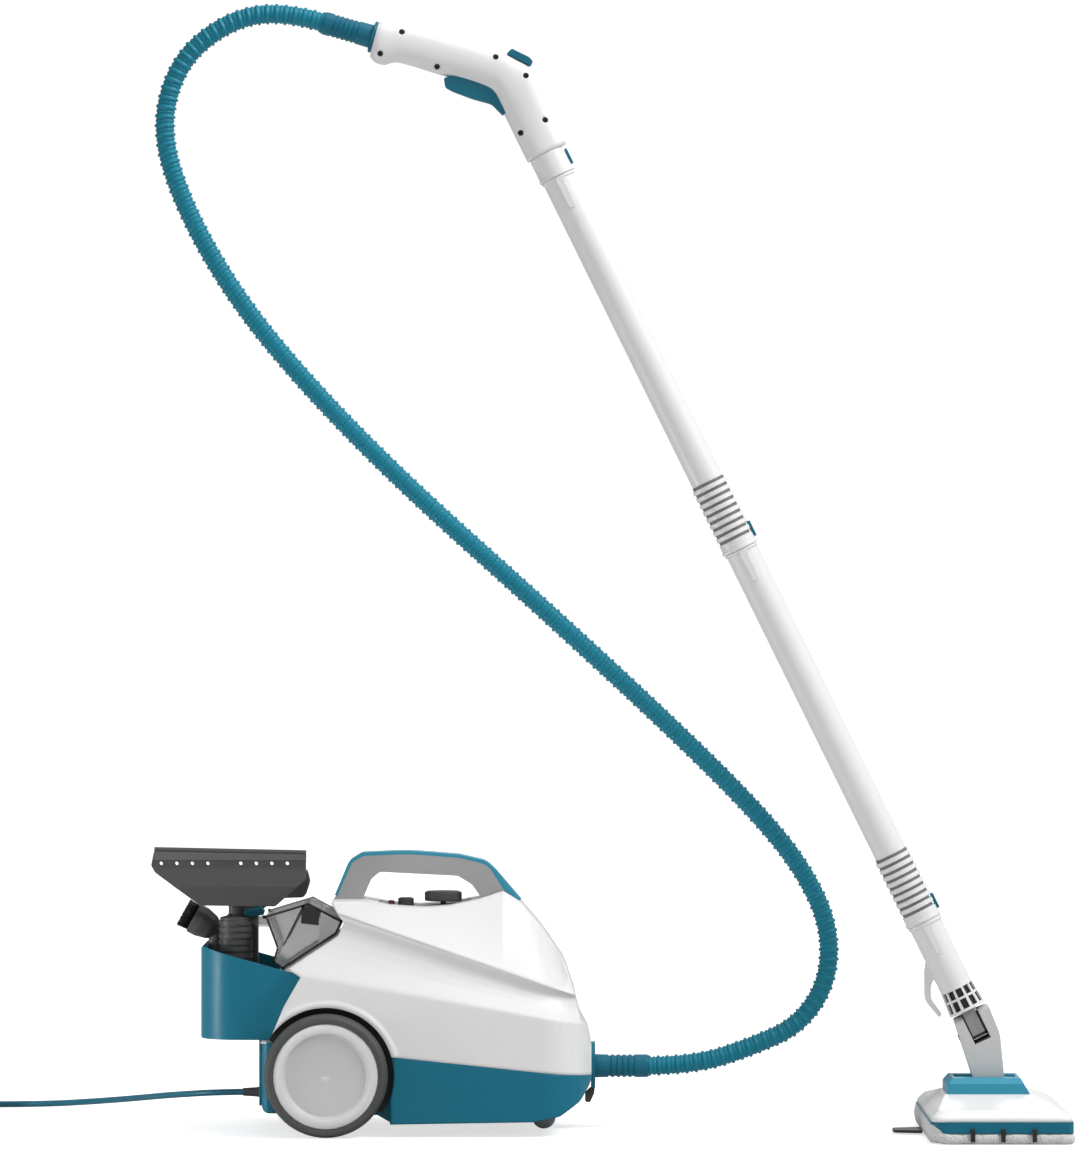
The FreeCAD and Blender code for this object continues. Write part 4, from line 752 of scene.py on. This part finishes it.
# how far each row of the pad's side stands out from the plan, and its height
PAD_SIDE = [(-0.0060, 0.0006), (-0.0020, 0.0004), (0.0002, 0.0014), (0.0014, 0.0035),
            (0.0018, 0.0060), (0.0014, 0.0085), (0.0004, 0.0106), (-0.0014, 0.0117),
            (-0.0050, 0.0120)]
pad_rings = []
for out, height in PAD_SIDE:
    loop = []
    for (x, y), normal in zip(pad_plan, pad_out):
        # the clips press the edge in; between them the edge wanders a little
        press = sum(math.exp(-(((x - clip) / CLIP_SPREAD) ** 2)) for clip in CLIP_X)
        press *= abs(normal[1]) > 0.7
        wander = 0.0004 * math.sin(x * 260 + y * 180) + 0.0003 * math.sin(x * 610 - y * 340)
        # along the rear edge the pad is drawn up over the base
        lift = max(0.0, min(1.0, (REAR_FROM - x) / REAR_RUN))
        rise = lift * lift * (3 - 2 * lift)
        z = height + rise * REAR_LIFT * (height / PAD_TOP) ** 0.7
        reach = out + wander - CLIP_PRESS * press * (out > 0)
        reach = max(reach, 0.0002) if rise > 0 and height > 0.004 else reach
        loop.append(Vector((x + normal[0] * reach, y + normal[1] * reach, z)))
    pad_rings.append(loop)
mop_pad = mesh_object("mop_pad_padded", *skin(pad_rings))
dress(mop_pad, "microfibre", "mop_head_body", "mop_pad")

# --- floor and lights ---------------------------------------------------------------------------

FLOOR_Z, FLOOR_REACH = -0.0002, 30
floor_verts = [(x * FLOOR_REACH, y * FLOOR_REACH, FLOOR_Z)
               for x, y in ((-1, -1), (1, -1), (1, 1), (-1, 1))]
floor = mesh_object("floor", floor_verts, [(0, 1, 2, 3)])
floor_paint, floor_nodes, floor_links, floor_shader = principled(
    "floor_paint", (0.6, 0.6, 0.6), 0.9
)
# Camera rays see the floor glow white, more so far off. It lights the object as a pale floor.
floor_shader.inputs["Emission Color"].default_value = (1, 1, 1, 1)
seen = floor_nodes.new("ShaderNodeLightPath")
spot_on_floor = floor_nodes.new("ShaderNodeTexCoord")
reach = floor_nodes.new("ShaderNodeVectorMath")
reach.operation = "LENGTH"
floor_links.new(spot_on_floor.outputs["Object"], reach.inputs[0])
far = floor_nodes.new("ShaderNodeMapRange")
for key, value in (("From Min", 1.3), ("From Max", 3.2), ("To Min", 0.68), ("To Max", 0.9)):
    far.inputs[key].default_value = value
floor_links.new(reach.outputs["Value"], far.inputs["Value"])
glow = floor_nodes.new("ShaderNodeMath")
glow.operation = "MULTIPLY"
floor_links.new(seen.outputs["Is Camera Ray"], glow.inputs[0])
floor_links.new(far.outputs["Result"], glow.inputs[1])
floor_links.new(glow.outputs["Value"], floor_shader.inputs["Emission Strength"])
floor.data.materials.append(floor_paint)

world = bpy.data.worlds.new("studio")
bpy.context.scene.world = world
world.use_nodes = True
SKY_LIGHT, SKY_SEEN = 0.32, 1.05  # strength as a light, and as the white background
sky_nodes, sky_links = world.node_tree.nodes, world.node_tree.links
sky_nodes["Background"].inputs["Color"].default_value = (1, 1, 1, 1)
sky_seen = sky_nodes.new("ShaderNodeLightPath")
sky = sky_nodes.new("ShaderNodeMath")
sky.operation = "MULTIPLY_ADD"
sky_links.new(sky_seen.outputs["Is Camera Ray"], sky.inputs[0])
sky.inputs[1].default_value = SKY_SEEN - SKY_LIGHT
sky.inputs[2].default_value = SKY_LIGHT
sky_links.new(sky.outputs["Value"], sky_nodes["Background"].inputs["Strength"])
# name, place, the point it looks at, width and height, power
LIGHTS = [
    ("key", (4.0, -1.8, 5.2), (0, 0, 0.5), (2.2, 2.2), 300),
    ("top", (0.3, -0.4, 4.4), (0, 0, 0), (3.0, 3.0), 45),
    ("front", (-0.8, -5.6, 2.6), (0, 0, 0.4), (3.0, 2.0), 32),
    ("back", (1.0, 5.4, 3.0), (0, 0, 0.4), (3.0, 2.0), 50),
    ("rim", (-4.6, -2.4, 1.6), (-0.4, 0, 0.3), (0.4, 1.6), 14),
    ("basket_rim", (-1.05, -0.22, 0.15), (-0.44, 0.0, 0.14), (0.06, 0.3), 2.2),
]
for light in LIGHTS:
    area_light(*light)
bpy.context.scene.view_settings.view_transform = "Standard"
